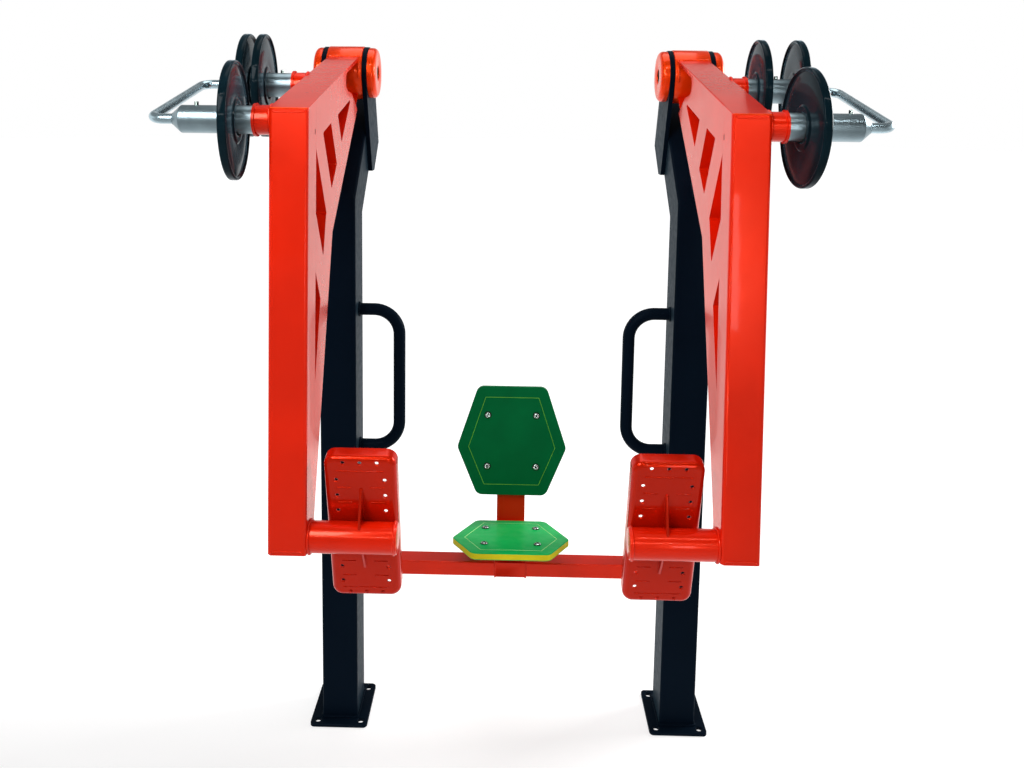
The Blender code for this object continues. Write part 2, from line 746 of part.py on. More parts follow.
def build_lattice(side, hand, machine, arm):
    low, high = sorted((side * ARM_INNER_X, side * ARM_OUTER_X))
    bm = bmesh.new()
    add_prism(bm, lattice_outline(), low, high, along_x)
    lattice = solid(hand + "_arm_lattice", bm, arm, "red_paint", pivot_point(side))

    windows = lattice_windows()
    pillars = bmesh.new()
    cuts = bmesh.new()
    for window in windows:
        add_prism(pillars, inset(window, -ARM_WALL), low - OVERRUN, high + OVERRUN, along_x)
        add_prism(cuts, rounded(window, WINDOW_CORNER), low - OVERRUN, high + OVERRUN, along_x)
    hollow = bmesh.new()
    add_prism(hollow, inset(lattice_outline(), ARM_WALL), low + ARM_WALL, high - ARM_WALL, along_x)
    hollow_guide = guide(hand + "_lattice_hollow", hollow, machine)
    combine(hollow_guide, "DIFFERENCE", guide(hand + "_window_linings", pillars, machine))

    seat = bmesh.new()
    profile = [(low - OVERRUN, DRUM_RADIUS + SEAT_GAP), (high + OVERRUN, DRUM_RADIUS + SEAT_GAP)]
    add_turned(seat, profile, ROUND_SIDES, at(along_x, PIVOT))
    notch = bmesh.new()
    for start, end in ((low - OVERRUN, low + ARM_WALL + EMBED), (high - ARM_WALL - EMBED, high + OVERRUN)):
        add_prism(notch, notch_outline(), start, end, along_x)
    stub = bmesh.new()
    add_stub(stub, side, SLEEVE_AXES["rear"])
    combine(lattice, "DIFFERENCE", guide(hand + "_windows", cuts, machine))
    combine(lattice, "DIFFERENCE", hollow_guide)
    combine(lattice, "DIFFERENCE", guide(hand + "_drum_seat", seat, machine))
    combine(lattice, "DIFFERENCE", guide(hand + "_hub_notch", notch, machine))
    combine(lattice, "UNION", guide(hand + "_rear_stub", stub, machine))


def build_hub(side, hand, arm):
    """The drum between the cheeks, with a web and a boss, and the bush that runs on the shaft."""
    half = POST_WIDTH / 2 + SEAT_GAP - RUN_GAP
    middle = side * POST_X
    rim = DRUM_RADIUS - DRUM_WALL
    bush_seat = BUSH_RADIUS + SEAT_GAP
    boss = bush_seat + DRUM_BOSS_WALL
    web = DRUM_WEB / 2
    right_half = [(half, DRUM_RADIUS), (half, rim), (web, rim), (web, boss), (half, boss), (half, bush_seat)]
    left_half = [(-along, radius) for along, radius in reversed(right_half)]
    drum = bmesh.new()
    profile = [(middle + along, radius) for along, radius in right_half + left_half]
    add_turned(drum, profile, ROUND_SIDES, at(along_x, PIVOT), closed=True)
    solid(hand + "_hub_drum", drum, arm, "red_paint", pivot_point(side))

    bore = SHAFT_RADIUS + RUN_GAP
    bush = bmesh.new()
    corners = [(half, BUSH_RADIUS), (half, bore), (-half, bore), (-half, BUSH_RADIUS)]
    add_turned(bush, [(middle + along, radius) for along, radius in corners], ROUND_SIDES,
               at(along_x, PIVOT), closed=True)
    solid(hand + "_pivot_bush", bush, arm, "bronze", pivot_point(side))


def pivot_point(side):
    return Vector((side * POST_X, PIVOT.x, PIVOT.y))


# Foot tube and pedal

def build_foot_tube(side, hand, arm):
    inner = FOOT_TUBE_RADIUS - FOOT_TUBE_WALL
    mouth = ARM_INNER_X - SEAT_GAP
    profile = [
        (FOOT_TUBE_END + FOOT_TUBE_WALL, inner),
        (mouth, inner),
        (mouth, FOOT_TUBE_RADIUS),
        (FOOT_TUBE_END, FOOT_TUBE_RADIUS),
    ]
    bm = bmesh.new()
    add_turned(bm, [(side * along, radius) for along, radius in profile], CAP_SIDES, at(along_x, FOOT_AXIS))
    solid(hand + "_foot_tube", bm, arm, "red_paint", pivot_point(side))


def pedal_place(side):
    """Places the pedal's points: across, up from its middle, and back from the face on the tube."""
    centre = Vector((side * PEDAL_CENTRE, FOOT_AXIS.x, FOOT_AXIS.y))
    lean = Matrix.Rotation(PEDAL_TILT, 3, "X")

    def place(point, far):
        return centre + lean @ Vector((point.x, far + FOOT_TUBE_RADIUS + SEAT_GAP, point.y - PEDAL_DROP))

    return place


def pedal_holes():
    """Rows at the top and bottom edges, and columns down both sides."""
    top = PEDAL_LENGTH / 2
    centres = []
    for row in (top - PEDAL_ROW_MARGIN, PEDAL_ROW_MARGIN - top):
        centres += [Vector((across * PEDAL_ROW_HALF, row)) for across in (-1, 0, 1)]
    rows = [top - PEDAL_UPPER_START - PEDAL_ROW_PITCH * i for i in range(PEDAL_UPPER_COUNT)]
    rows += [PEDAL_LOWER_START + PEDAL_ROW_PITCH * i - top for i in range(PEDAL_LOWER_COUNT)]
    for row in rows:
        centres += [Vector((across * PEDAL_COLUMN_HALF, row)) for across in (-1, 1)]
    return centres


def build_pedal(side, hand, machine, arm):
    place = pedal_place(side)
    outline = rounded(rectangle(PEDAL_WIDTH, PEDAL_LENGTH), PEDAL_CORNER)
    bm = bmesh.new()
    add_prism(bm, outline, 0.0, PEDAL_DEPTH, place)
    pedal = solid(hand + "_pedal_tray", bm, arm, "red_paint", pivot_point(side))

    tray = bmesh.new()
    add_prism(tray, inset(outline, PEDAL_WALL), PEDAL_WALL, PEDAL_DEPTH + OVERRUN, place)
    holes = bmesh.new()
    for centre in pedal_holes():
        profile = [(-OVERRUN, PEDAL_HOLE_RADIUS), (PEDAL_WALL + EMBED, PEDAL_HOLE_RADIUS)]
        add_turned(holes, profile, HOLE_SIDES, at(place, centre))
    combine(pedal, "DIFFERENCE", guide(hand + "_tray_hollow", tray, machine))
    combine(pedal, "DIFFERENCE", guide(hand + "_tray_holes", holes, machine))

    rib = bmesh.new()
    proud = 2 * FOOT_TUBE_RADIUS
    rib_profile = [
        Vector((EMBED, -RIB_LOWER_LENGTH)),
        Vector((EMBED, RIB_UPPER_LENGTH)),
        Vector((-EMBED, RIB_UPPER_LENGTH)),
        Vector((-proud, PEDAL_DROP + FOOT_TUBE_RADIUS / 2)),
        Vector((-proud, PEDAL_DROP - FOOT_TUBE_RADIUS / 2)),
        Vector((-EMBED, -RIB_LOWER_LENGTH)),
    ]
    add_prism(rib, rib_profile, -RIB_THICKNESS / 2, RIB_THICKNESS / 2,
              lambda point, far: place(Vector((far, point.y)), point.x))
    clearance = bmesh.new()
    ends = [side * (FOOT_TUBE_END - OVERRUN), side * (ARM_INNER_X + OVERRUN)]
    profile = [(end, FOOT_TUBE_RADIUS + SEAT_GAP) for end in ends]
    add_turned(clearance, profile, CAP_SIDES, at(along_x, FOOT_AXIS))
    rib_guide = guide(hand + "_rib", rib, machine)
    combine(rib_guide, "DIFFERENCE", guide(hand + "_rib_clearance", clearance, machine))
    combine(pedal, "UNION", rib_guide)


# Weight sleeves and what they carry

def build_sleeve(side, hand, end, machine, arm):
    axis = SLEEVE_AXES[end]
    inner = SLEEVE_RADIUS - SLEEVE_WALL
    shoulder = SLEEVE_START_X + SLEEVE_LENGTH
    profile = [
        (shoulder - SLEEVE_WALL, inner),
        (SLEEVE_START_X, inner),
        (SLEEVE_START_X, SLEEVE_RADIUS),
        (shoulder, SLEEVE_RADIUS),
        (SLEEVE_END_X, CONE_END_RADIUS),
    ]
    bm = bmesh.new()
    add_turned(bm, [(side * along, radius) for along, radius in profile], ROUND_SIDES, at(along_x, axis))
    sleeve = solid(f"{hand}_{end}_weight_sleeve", bm, arm, "silver_steel", pivot_point(side))
    hole = bmesh.new()
    for name, (pin_hand, pin_end, along) in PIN_PLACES.items():
        if (pin_hand, pin_end) == (hand, end):
            centre = Vector((side * (FLANGE_X + along), axis.x))
            profile = [(0.0, LOCK_PIN_RADIUS + SEAT_GAP), (SLEEVE_RADIUS + OVERRUN, LOCK_PIN_RADIUS + SEAT_GAP)]
            add_turned(hole, profile, SMALL_SIDES, at(along_z, centre, axis.y))
            build_lock_pin(name, Vector((centre.x, axis.x, axis.y)), arm)
    combine(sleeve, "DIFFERENCE", guide(f"{hand}_{end}_pin_hole", hole, machine))


def build_lock_pin(name, centre, arm):
    """A sprung pin that stands out of the sleeve, with a collar under its wall."""
    under = SLEEVE_RADIUS - SLEEVE_WALL - SEAT_GAP - sleeve_sagitta()
    tail = LOCK_PIN_TRAVEL + SEAT_GAP - under
    top = SLEEVE_RADIUS + LOCK_PIN_PROUD
    profile = [
        (top, LOCK_PIN_RADIUS - LOCK_PIN_TIP),
        (top - LOCK_PIN_TIP, LOCK_PIN_RADIUS),
        (under, LOCK_PIN_RADIUS),
        (under, LOCK_PIN_COLLAR),
        (under - LOCK_PIN_COLLAR_LENGTH, LOCK_PIN_COLLAR),
        (under - LOCK_PIN_COLLAR_LENGTH, LOCK_PIN_TAIL_RADIUS),
        (tail, LOCK_PIN_TAIL_RADIUS),
    ]
    bm = bmesh.new()
    add_turned(bm, profile, SMALL_SIDES, at(along_z, Vector((centre.x, centre.y)), centre.z))
    solid(name, bm, arm, "silver_steel", centre)


def sleeve_sagitta():
    """How much nearer the axis the sleeve's inner face lies over the width of the pin's collar."""
    inner = SLEEVE_RADIUS - SLEEVE_WALL
    return inner - math.sqrt(inner ** 2 - LOCK_PIN_COLLAR ** 2)


def build_tie_bar(side, hand, arm):
    start = SLEEVE_END_X + SEAT_GAP
    out = SLEEVE_END_X + TIE_OUTREACH
    front, rear = SLEEVE_AXES["front"], SLEEVE_AXES["rear"]
    corners = [(start, front), (out, front), (out, rear), (start, rear)]
    points = [Vector((side * x, axis.x, axis.y)) for x, axis in corners]
    tube(hand + "_tie_bar", bent_route(points, TIE_BEND_RADIUS), TIE_RADIUS, arm, "silver_steel")


def build_weight_plate(name, hand, end, along, turn, arm):
    """A round plate with a raised rim and boss, hung on its sleeve."""
    side = SIDES[hand]
    axis = SLEEVE_AXES[end]
    rim, web = PLATE_THICKNESS / 2, PLATE_WEB / 2
    inner_rim = PLATE_RADIUS - PLATE_RIM
    outer_half = [(rim, PLATE_BORE_RADIUS), (rim, PLATE_BOSS_RADIUS), (web, PLATE_BOSS_RADIUS + rim - web),
                  (web, inner_rim - rim + web), (rim, inner_rim), (rim, PLATE_RADIUS)]
    inner_half = [(-far, radius) for far, radius in reversed(outer_half)]
    centre = Vector((side * (FLANGE_X + along), axis.x, axis.y - PLATE_DROP))
    spin = Matrix.Rotation(-side * turn, 3, "Z")

    def place(point, far):
        return centre + spin @ Vector((far, point.x, point.y))

    bm = bmesh.new()
    add_turned(bm, outer_half + inner_half, ROUND_SIDES, place, closed=True)
    solid(name, bm, arm, "black_enamel", centre)


# Grab handles, crossbeam and seat

def build_grab_handle(side, hand, machine):
    mouth = POST_INNER_X - SEAT_GAP
    far = POST_INNER_X - HANDLE_REACH_IN
    corners = [(mouth, HANDLE_TOP_HEIGHT), (far, HANDLE_TOP_HEIGHT), (far, HANDLE_BOTTOM_HEIGHT),
               (mouth, HANDLE_BOTTOM_HEIGHT)]
    points = [Vector((side * x, HANDLE_SETBACK, height)) for x, height in corners]
    tube(hand + "_grab_handle", bent_route(points, HANDLE_BEND_RADIUS), HANDLE_RADIUS, machine, "dark_paint")


def build_crossbeam(side, hand, machine):
    ends = (side * (SUPPORT_WIDTH / 2 + SEAT_GAP), side * (POST_INNER_X - SEAT_GAP))
    centre = Vector((BEAM_SETBACK + BEAM_DEPTH / 2, BEAM_BOTTOM + BEAM_HEIGHT / 2))
    outline = [point + centre for point in rectangle(BEAM_DEPTH, BEAM_HEIGHT)]
    bm = bmesh.new()
    add_prism(bm, outline, *ends, along_x)
    beam = solid(hand + "_crossbeam", bm, machine, "red_paint")
    hollow = bmesh.new()
    low, high = sorted(ends)
    add_prism(hollow, inset(outline, FRAME_WALL), low - OVERRUN, high + OVERRUN, along_x)
    combine(beam, "DIFFERENCE", guide(hand + "_crossbeam_hollow", hollow, machine))


def seat_frame():
    """The top of the seat's front edge, and the direction in which the seat runs back and down."""
    origin = Vector((-SEAT_FRONT_REACH, SEAT_FRONT_HEIGHT))
    return origin, rising(-SEAT_TILT)


def backrest_frame():
    """The front of the backrest's lower edge, which the upright's face and bracket set back."""
    up = leaning(UPRIGHT_LEAN)
    stack = BOARD_THICKNESS + BRACKET_THICKNESS + SEAT_GAP
    face = upright_face()
    foot = crossing(face, up, Vector((0.0, BACKREST_BOTTOM_HEIGHT)), Vector((1.0, 0.0)))
    return foot + left_of(up) * stack, up


def upright_face():
    """A point on the upright's front face, where the seat's rear edge leaves room for its bracket."""
    origin, back = seat_frame()
    rear_edge = origin + back * BOARD_LENGTH
    room = BOARD_THICKNESS + BRACKET_THICKNESS
    return rear_edge + Vector((room / 2, 0.0))


def support_outline(wall, end_gap, top_extra):
    """The bent tube under the seat and up behind the backrest, drawn in by its wall."""
    up = leaning(UPRIGHT_LEAN)
    right = Vector((up.y, -up.x))
    level = Vector((1.0, 0.0))
    face = upright_face() + right * wall
    back = upright_face() + right * (BEAM_HEIGHT - wall)
    top = Vector((0.0, UPRIGHT_TOP + top_extra))
    low, high = Vector((0.0, BEAM_BOTTOM + wall)), Vector((0.0, SUPPORT_TOP - wall))
    front = SUPPORT_FRONT_SETBACK + end_gap
    return [
        Vector((front, low.y)),
        crossing(back, up, low, level),
        crossing(back, up, top, level),
        crossing(face, up, top, level),
        crossing(face, up, high, level),
        Vector((front, high.y)),
    ]


def along_board(frame, along, under):
    """A point in the side view: along a board from its edge, and under its face."""
    origin, direction = frame
    return origin + direction * along + Vector((direction.y, -direction.x)) * under


def bracket_outline(frame, middle):
    """The bracket's edge in the side view, flat under its board."""
    near, far = middle - BRACKET_LENGTH / 2, middle + BRACKET_LENGTH / 2
    top = BOARD_THICKNESS + SEAT_GAP
    low = top + BRACKET_THICKNESS
    return [along_board(frame, *pair) for pair in ((near, low), (far, low), (far, top), (near, top))]


def build_seat_support(machine):
    half = SUPPORT_WIDTH / 2
    bm = bmesh.new()
    add_prism(bm, support_outline(0.0, 0.0, 0.0), -half, half, along_x)
    support = solid("seat_support", bm, machine, "red_paint")
    hollow = bmesh.new()
    inner = half - FRAME_WALL
    add_prism(hollow, support_outline(FRAME_WALL, FRAME_WALL, OVERRUN), -inner, inner, along_x)
    combine(support, "DIFFERENCE", guide("support_hollow", hollow, machine))

    middle = BOARD_LENGTH / 2
    frames = {"seat": seat_frame(), "backrest": backrest_frame()}
    for name, frame in frames.items():
        bracket = bmesh.new()
        outline = bracket_outline(frame, middle)
        if name == "backrest":
            push = Vector((frame[1].y, -frame[1].x)) * SEAT_GAP
            outline[0] += push
            outline[1] += push
        add_prism(bracket, outline, -BRACKET_WIDTH / 2, BRACKET_WIDTH / 2, along_x)
        combine(support, "UNION", guide(name + "_bracket", bracket, machine))

    under = BOARD_THICKNESS + SEAT_GAP + BRACKET_THICKNESS - EMBED
    near = crossing(along_board(frames["seat"], 0.0, under), frames["seat"][1],
                    Vector((GUSSET_START, 0.0)), Vector((0.0, 1.0)))
    far = crossing(near, frames["seat"][1], Vector((GUSSET_END, 0.0)), Vector((0.0, 1.0)))
    floor = SUPPORT_TOP - EMBED
    gussets = bmesh.new()
    outline = [Vector((GUSSET_START, floor)), Vector((GUSSET_END, floor)), far, near]
    for side in (-1, 1):
        centre = side * GUSSET_SPACING / 2
        add_prism(gussets, outline, centre - FRAME_WALL / 2, centre + FRAME_WALL / 2, along_x)
    combine(support, "UNION", guide("seat_gussets", gussets, machine))

    holes = bmesh.new()
    for frame in frames.values():
        add_bolt_holes(holes, frame)
    combine(support, "DIFFERENCE", guide("bracket_holes", holes, machine))
    for name, frame in frames.items():
        build_board(name, frame, machine)


def board_place(frame):
    """Places a board's points: across, along from its edge, and under its face."""
    def place(point, far):
        spot = along_board(frame, point.y, far)
        return Vector((point.x, spot.x, spot.y))

    return place


def bolt_centres():
    middle = Vector((0.0, BOARD_LENGTH / 2))
    return [point + middle for point in rectangle(2 * BOLT_HALF_ACROSS, 2 * BOLT_HALF_ALONG)]


def add_bolt_holes(bm, frame):
    deep = BOARD_THICKNESS + BRACKET_THICKNESS + OVERRUN
    for centre in bolt_centres():
        profile = [(-OVERRUN, BOLT_HOLE_RADIUS), (deep, BOLT_HOLE_RADIUS)]
        add_turned(bm, profile, HOLE_SIDES, at(board_place(frame), centre))


def build_board(name, frame, machine):
    ends, widest = BOARD_END_WIDTH / 2, BOARD_WIDTH / 2
    middle = BOARD_LENGTH * BOARD_WIDEST_SHARE
    hexagon = [Vector(pair) for pair in (
        (-ends, 0.0), (ends, 0.0), (widest, middle), (ends, BOARD_LENGTH), (-ends, BOARD_LENGTH), (-widest, middle)
    )]
    bm = bmesh.new()
    add_prism(bm, rounded(hexagon, BOARD_CORNER), 0.0, BOARD_THICKNESS, board_place(frame))
    board = solid(name + "_board", bm, machine, "green_board")
    holes = bmesh.new()
    add_bolt_holes(holes, frame)
    combine(board, "DIFFERENCE", guide(name + "_board_holes", holes, machine))
    rounding = board.modifiers.new("rounded edge", "BEVEL")
    rounding.width = BOARD_EDGE
    rounding.segments = 1
    rounding.limit_method = "ANGLE"
    rounding.angle_limit = BOARD_EDGE_ANGLE

    rows = ("lower", "upper") if name == "backrest" else ("front", "rear")
    spots = {"left": -1, "right": 1}
    for row, which in zip((-1, 1), rows):
        for hand, across in spots.items():
            centre = Vector((across * BOLT_HALF_ACROSS, BOARD_LENGTH / 2 + row * BOLT_HALF_ALONG))
            build_bolt(f"{name}_bolt_{which}_{hand}", centre, frame, machine)


def build_bolt(name, centre, frame, machine):
    """A button-headed bolt down through the board and its bracket."""
    tip = BOARD_THICKNESS + BRACKET_THICKNESS + BOLT_PAST_BRACKET
    profile = [
        (-SEAT_GAP - BOLT_HEAD_HEIGHT, BOLT_HEAD_RADIUS - BOLT_DOME_INSET),
        (-SEAT_GAP - BOLT_HEAD_HEIGHT / 2, BOLT_HEAD_RADIUS),
        (-SEAT_GAP, BOLT_HEAD_RADIUS),
        (-SEAT_GAP, BOLT_RADIUS),
        (tip, BOLT_RADIUS),
    ]
    bm = bmesh.new()
    add_turned(bm, profile, SMALL_SIDES, at(board_place(frame), centre))
    solid(name, bm, machine, "stainless")


# The whole machine

def machine_shift():
    """Half the difference between what stands ahead of the posts' front and what stands behind."""
    front = 0.0
    for _, end, _, turn in PLATE_PLACES.values():
        edge = PLATE_RADIUS * math.cos(turn) + PLATE_THICKNESS / 2 * abs(math.sin(turn))
        front = max(front, edge - SLEEVE_AXES[end].x)
    rear = max(point.x for point in cheek_outline())
    return (front - rear) / 2


def empty(name, place, parent=None):
    spot = bpy.data.objects.new(name, None)
    bpy.context.collection.objects.link(spot)
    spot.location = place
    spot.parent = parent
    return spot


def main():
    for thing in list(bpy.data.objects):
        bpy.data.objects.remove(thing)

    machine = empty("machine", Vector((0.0, machine_shift(), 0.0)))
    arms = {}
    for hand, side in SIDES.items():
        build_base_plate(side, hand, machine)
        build_post(side, hand, machine)
        build_pivot_head(side, hand, machine)
        build_grab_handle(side, hand, machine)
        build_crossbeam(side, hand, machine)
        arms[hand] = empty(hand + "_arm_pivot", pivot_point(side), machine)
        build_hub(side, hand, arms[hand])
        build_front_tube(side, hand, machine, arms[hand])
        build_lattice(side, hand, machine, arms[hand])
        build_foot_tube(side, hand, arms[hand])
        build_pedal(side, hand, machine, arms[hand])
        for end in SLEEVE_AXES:
            build_sleeve(side, hand, end, machine, arms[hand])
        build_tie_bar(side, hand, arms[hand])
    for name, (hand, end, along, turn) in PLATE_PLACES.items():
        build_weight_plate(name, hand, end, along, turn, arms[hand])
    build_seat_support(machine)


if __name__ == "__main__":
    main()
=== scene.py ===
"""Outdoor leg machine, dressed over its fixed frame.

Two latticed arms hang from a pair of posts, each with a pedal at its foot and weight plates on
sleeves at its head, one each side of a hexagonal seat. Every piece stands where the frame's solid
stands: sizes that the frame already holds are read from its boxes, and what is finer than the
frame, such as an edge's rounding, a weld or a pressed line, has its own value here, in metres.
A pair is a place in the side view: y, then z.
"""

import math

import bmesh
import bpy
import numpy as np
from mathutils import Matrix, Vector


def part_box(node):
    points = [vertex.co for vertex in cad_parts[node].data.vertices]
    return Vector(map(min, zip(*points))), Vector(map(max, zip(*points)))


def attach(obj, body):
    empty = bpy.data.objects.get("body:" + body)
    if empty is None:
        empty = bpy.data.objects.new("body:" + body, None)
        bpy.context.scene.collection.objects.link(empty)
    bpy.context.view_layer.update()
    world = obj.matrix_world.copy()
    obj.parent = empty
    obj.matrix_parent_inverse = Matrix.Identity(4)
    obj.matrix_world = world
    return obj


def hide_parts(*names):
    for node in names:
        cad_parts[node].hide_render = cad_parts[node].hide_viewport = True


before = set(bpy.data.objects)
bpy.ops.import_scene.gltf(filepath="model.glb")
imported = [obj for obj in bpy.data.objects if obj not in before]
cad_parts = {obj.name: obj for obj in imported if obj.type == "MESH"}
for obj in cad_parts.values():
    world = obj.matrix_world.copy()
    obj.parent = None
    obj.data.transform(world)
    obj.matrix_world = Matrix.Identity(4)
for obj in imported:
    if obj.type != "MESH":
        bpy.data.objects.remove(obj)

bl_info = {
    "name": "Outdoor leg machine",
    "version": (1, 0, 0),
    "blender": (4, 5, 0),
    "location": "3D View > Sidebar > Leg Machine",
    "description": "Dresses an outdoor leg machine: painted arms, weight plates, boards, welds and a studio",
    "category": "Object",
}

DONE = {"FINISHED"}
HANDS = {"left": -1, "right": 1}
ACROSS, BACK, UP = Vector((1, 0, 0)), Vector((0, 1, 0)), Vector((0, 0, 1))
WHITE = (1.0, 1.0, 1.0, 1.0)

# Meshes: which edges stay hard, and what counts as one point, as flat and as too short to ease
HARD = math.radians(38)
SAME_POINT, FLAT, SHORTEST_EDGE = 0.00001, math.radians(0.6), 0.012
CORNER_STEPS, SHOULDER_STEPS = 8, 6

# Arms, their vents and the seam between the front tube and the lattice
PIVOT = Vector((0.3049, 1.852))
ARM_INNER, ARM_OUTER = 0.4407, 0.5247
ARM_TOP, ARM_FOOT = Vector((-0.3801, 1.757)), Vector((-0.4471, 0.806))
TOP_STRIP_RISE = math.radians(12.53)
SEAM_TOP, SEAM_FOOT, SEAM_WIDTH = Vector((-0.3008, 1.7746)), Vector((-0.3691, 0.806)), 0.0016
VENT, VENT_WIDTH, VENT_LENGTH, VENT_SPARE = Vector((-0.3157, 1.7059)), 0.006, 0.012, 0.0012

# Pedals
PEDAL_CENTRE = Vector((0.331, -0.4061, 0.830))
PEDAL_TILT = math.radians(15.0)
PEDAL_FACE, PEDAL_DROP = 0.0343, 0.009
PEDAL_WIDTH, PEDAL_LENGTH = 0.157, 0.385

# Feet of the posts
POST_TOE, POST_DEPTH = 0.0315, 0.120

# Boards: a point on the seat's front edge, how they lean, and where their bolts are
SEAT_EDGE, SEAT_TILT, BACKREST_LEAN = Vector((-0.0071, 0.586)), math.radians(11.5), math.radians(8.0)
BOARD_LENGTH, BOARD_END_HALF, BOARD_HALF, BOARD_WIDEST_SHARE = 0.324, 0.103, 0.164, 0.437
BOARD_THICKNESS = 0.018
BOLT_ACROSS, BOLT_ALONG = 0.073, 0.0765

CAMERA_PLACE = Vector((-0.0184, -2.2193, 1.7745))
CAMERA_YAW, CAMERA_PITCH, CAMERA_ROLL = math.radians(1.0), math.radians(6.542), math.radians(0.755)
CAMERA_FOCAL, CAMERA_MIDDLE = 880.2, (494.0, 203.1)
PICTURE_WIDTH, PICTURE_HEIGHT, SENSOR_MM = 1024, 768, 36.0


def paint(name, description, default):
    """A colour of the panel."""
    return bpy.props.FloatVectorProperty(
        name=name, description=description, default=default, subtype="COLOR", min=0, max=1)


def fine_size(name, description, default, least, most):
    """A size of the panel."""
    return bpy.props.FloatProperty(
        name=name, description=description, default=default, min=least, max=most, subtype="DISTANCE", unit="LENGTH")


class MachineFinish(bpy.types.PropertyGroup):
    """Colours and gloss"""
    red: paint("Arm paint", "Powder coat on the arms, foot tubes, beams and seat support", (0.68, 0.012, 0.0008))
    # The hub colour is the arm paint made lighter and warmer: painted light, for the drums' brighter top-lit look.
    hub: paint("Hub paint", "Warmer powder coat on the drums and caps", (0.80, 0.040, 0.002))
    # The pedal colour is the arm paint made deeper: painted shade, for the pedals' darker look.
    pedal: paint("Pedal paint", "Deeper powder coat on the pedals", (0.48, 0.010, 0.001))
    dark: paint("Post paint", "Powder coat on the posts, handles and cheeks", (0.0015, 0.0045, 0.010))
    enamel: paint("Plate enamel", "Gloss enamel on the cast weight plates", (0.0020, 0.0075, 0.0110))
    zinc: paint("Sleeve zinc", "Silver finish on the sleeves and tie bars", (0.22, 0.29, 0.32))
    board: paint("Seat skin", "Green skin of the seat board", (0.0, 0.40, 0.080))
    # The backrest colour is the seat's green made darker: painted shade, since the backrest faces away from the
    # light.
    back: paint("Backrest skin", "Darker green skin of the backrest board", (0.0, 0.125, 0.034))
    core: paint("Board core", "Yellow core that shows round the seat board's edge", (0.60, 0.53, 0.015))
    gloss: bpy.props.FloatProperty(
        name="Paint roughness", description="Roughness of the powder coat under its clear layer",
        default=0.24, min=0.02, max=1, subtype="FACTOR")


class MachineSizes(bpy.types.PropertyGroup):
    """Sizes finer than the frame"""
    edge: fine_size("Tube edge", "Rounding along the long edges of the square tubes", 0.0045, 0.001, 0.012)
    fine_edge: fine_size("Plate edge", "Rounding along the edges of cut plate", 0.0014, 0.0003, 0.004)
    bead: fine_size("Weld bead", "Radius of a weld bead", 0.0034, 0.001, 0.008)
    bead_step: fine_size("Weld ripple", "Distance from one ripple of a weld to the next", 0.0030, 0.001, 0.01)
    hole: fine_size("Pedal hole", "Radius of the holes in the pedals", 0.0042, 0.001, 0.008)
    groove: fine_size("Board groove", "Width of the line engraved in the boards", 0.0020, 0.001, 0.008)


def sizes():
    return bpy.context.scene.leg_machine_sizes


# Node trees

def wire(tree, node, links):
    """Sets a node's inputs, or links them where the value is another node's output."""
    for label, value in links.items():
        if isinstance(value, bpy.types.NodeSocket):
            tree.links.new(value, node.inputs[label])
        else:
            node.inputs[label].default_value = value
    return node


def joined(tree, kind, links, **settings):
    """A new node of a tree, with its settings and its inputs."""
    node = tree.nodes.new(kind)
    for key, value in settings.items():
        setattr(node, key, value)
    return wire(tree, node, links)


def ranged(tree, value, start, end, low, high, kind="SMOOTHSTEP"):
    """A number that runs from low to high while a value runs from start to end, and is held beyond."""
    return joined(tree, "ShaderNodeMapRange", {"Value": value, "From Min": start, "From Max": end, "To Min": low,
                                               "To Max": high}, interpolation_type=kind).outputs["Result"]


# Materials

def shader_of(name):
    """A named material with its tree, its shader and the object's own coordinates."""
    made = bpy.data.materials.new(name)
    made.use_nodes = True
    tree = made.node_tree
    return made, tree, tree.nodes["Principled BSDF"], tree.nodes.new("ShaderNodeTexCoord").outputs["Object"]


def noise(tree, place, scale, detail, stretch=(1.0, 1.0, 1.0)):
    drawn = joined(tree, "ShaderNodeMapping", {"Vector": place, "Scale": stretch}).outputs["Vector"]
    return joined(tree, "ShaderNodeTexNoise", {"Vector": drawn, "Scale": scale, "Detail": detail}).outputs["Fac"]


def between(tree, share, low, high):
    """A number that runs from low to high over the middle of a noise's range."""
    return ranged(tree, share, 0.35, 0.65, low, high, "LINEAR")


def blended(tree, share, first, second):
    return joined(tree, "ShaderNodeMix", {"A": (*first, 1.0), "B": (*second, 1.0), "Factor": share},
                  data_type="RGBA").outputs["Result"]


def bumped(tree, height, depth, under=None):
    links = {"Strength": 1.0, "Distance": depth, "Height": height}
    return joined(tree, "ShaderNodeBump", {**links, "Normal": under} if under else links).outputs["Normal"]


def shade(colour, share):
    return tuple(part * share for part in colour)


def clouded(tree, place, colour, scale, detail, low, high):
    """A colour with soft clouds, darker and lighter by a share."""
    cloud = between(tree, noise(tree, place, scale, detail), 0.0, 1.0)
    return blended(tree, cloud, shade(colour, low), shade(colour, high))


def bloom(weight, roughness):
    """Slate-blue bloom that a dark finish shows where it is seen along its surface."""
    return {"Sheen Weight": weight, "Sheen Roughness": roughness, "Sheen Tint": (0.40, 0.76, 1.0, 1.0)}


def powder_coat(name, colour, roughness, coat, sheen, tint, flake=0.0, dusk=None):
    """Sprayed powder: a faint orange peel, slow waves in the sheet under it and a little unevenness."""
    made, tree, shader, place = shader_of(name)
    waves = bumped(tree, noise(tree, place, 9.0, 1.0), 0.00022)
    wire(tree, shader, {
        "Base Color": clouded(tree, place, colour, 5.0, 3.0, 0.92, 1.06),
        "Roughness": between(tree, noise(tree, place, 60.0, 2.0), roughness * 0.9, roughness * 1.12),
        "Metallic": flake, "Normal": bumped(tree, noise(tree, place, 150.0, 1.5), 0.0000006, waves),
        "Specular IOR Level": sheen, "Specular Tint": (*tint, 1.0),
        "Coat Weight": coat, "Coat Roughness": 0.04, "Coat IOR": 1.45, "Coat Normal": waves, **(dusk or {}),
    })
    return made


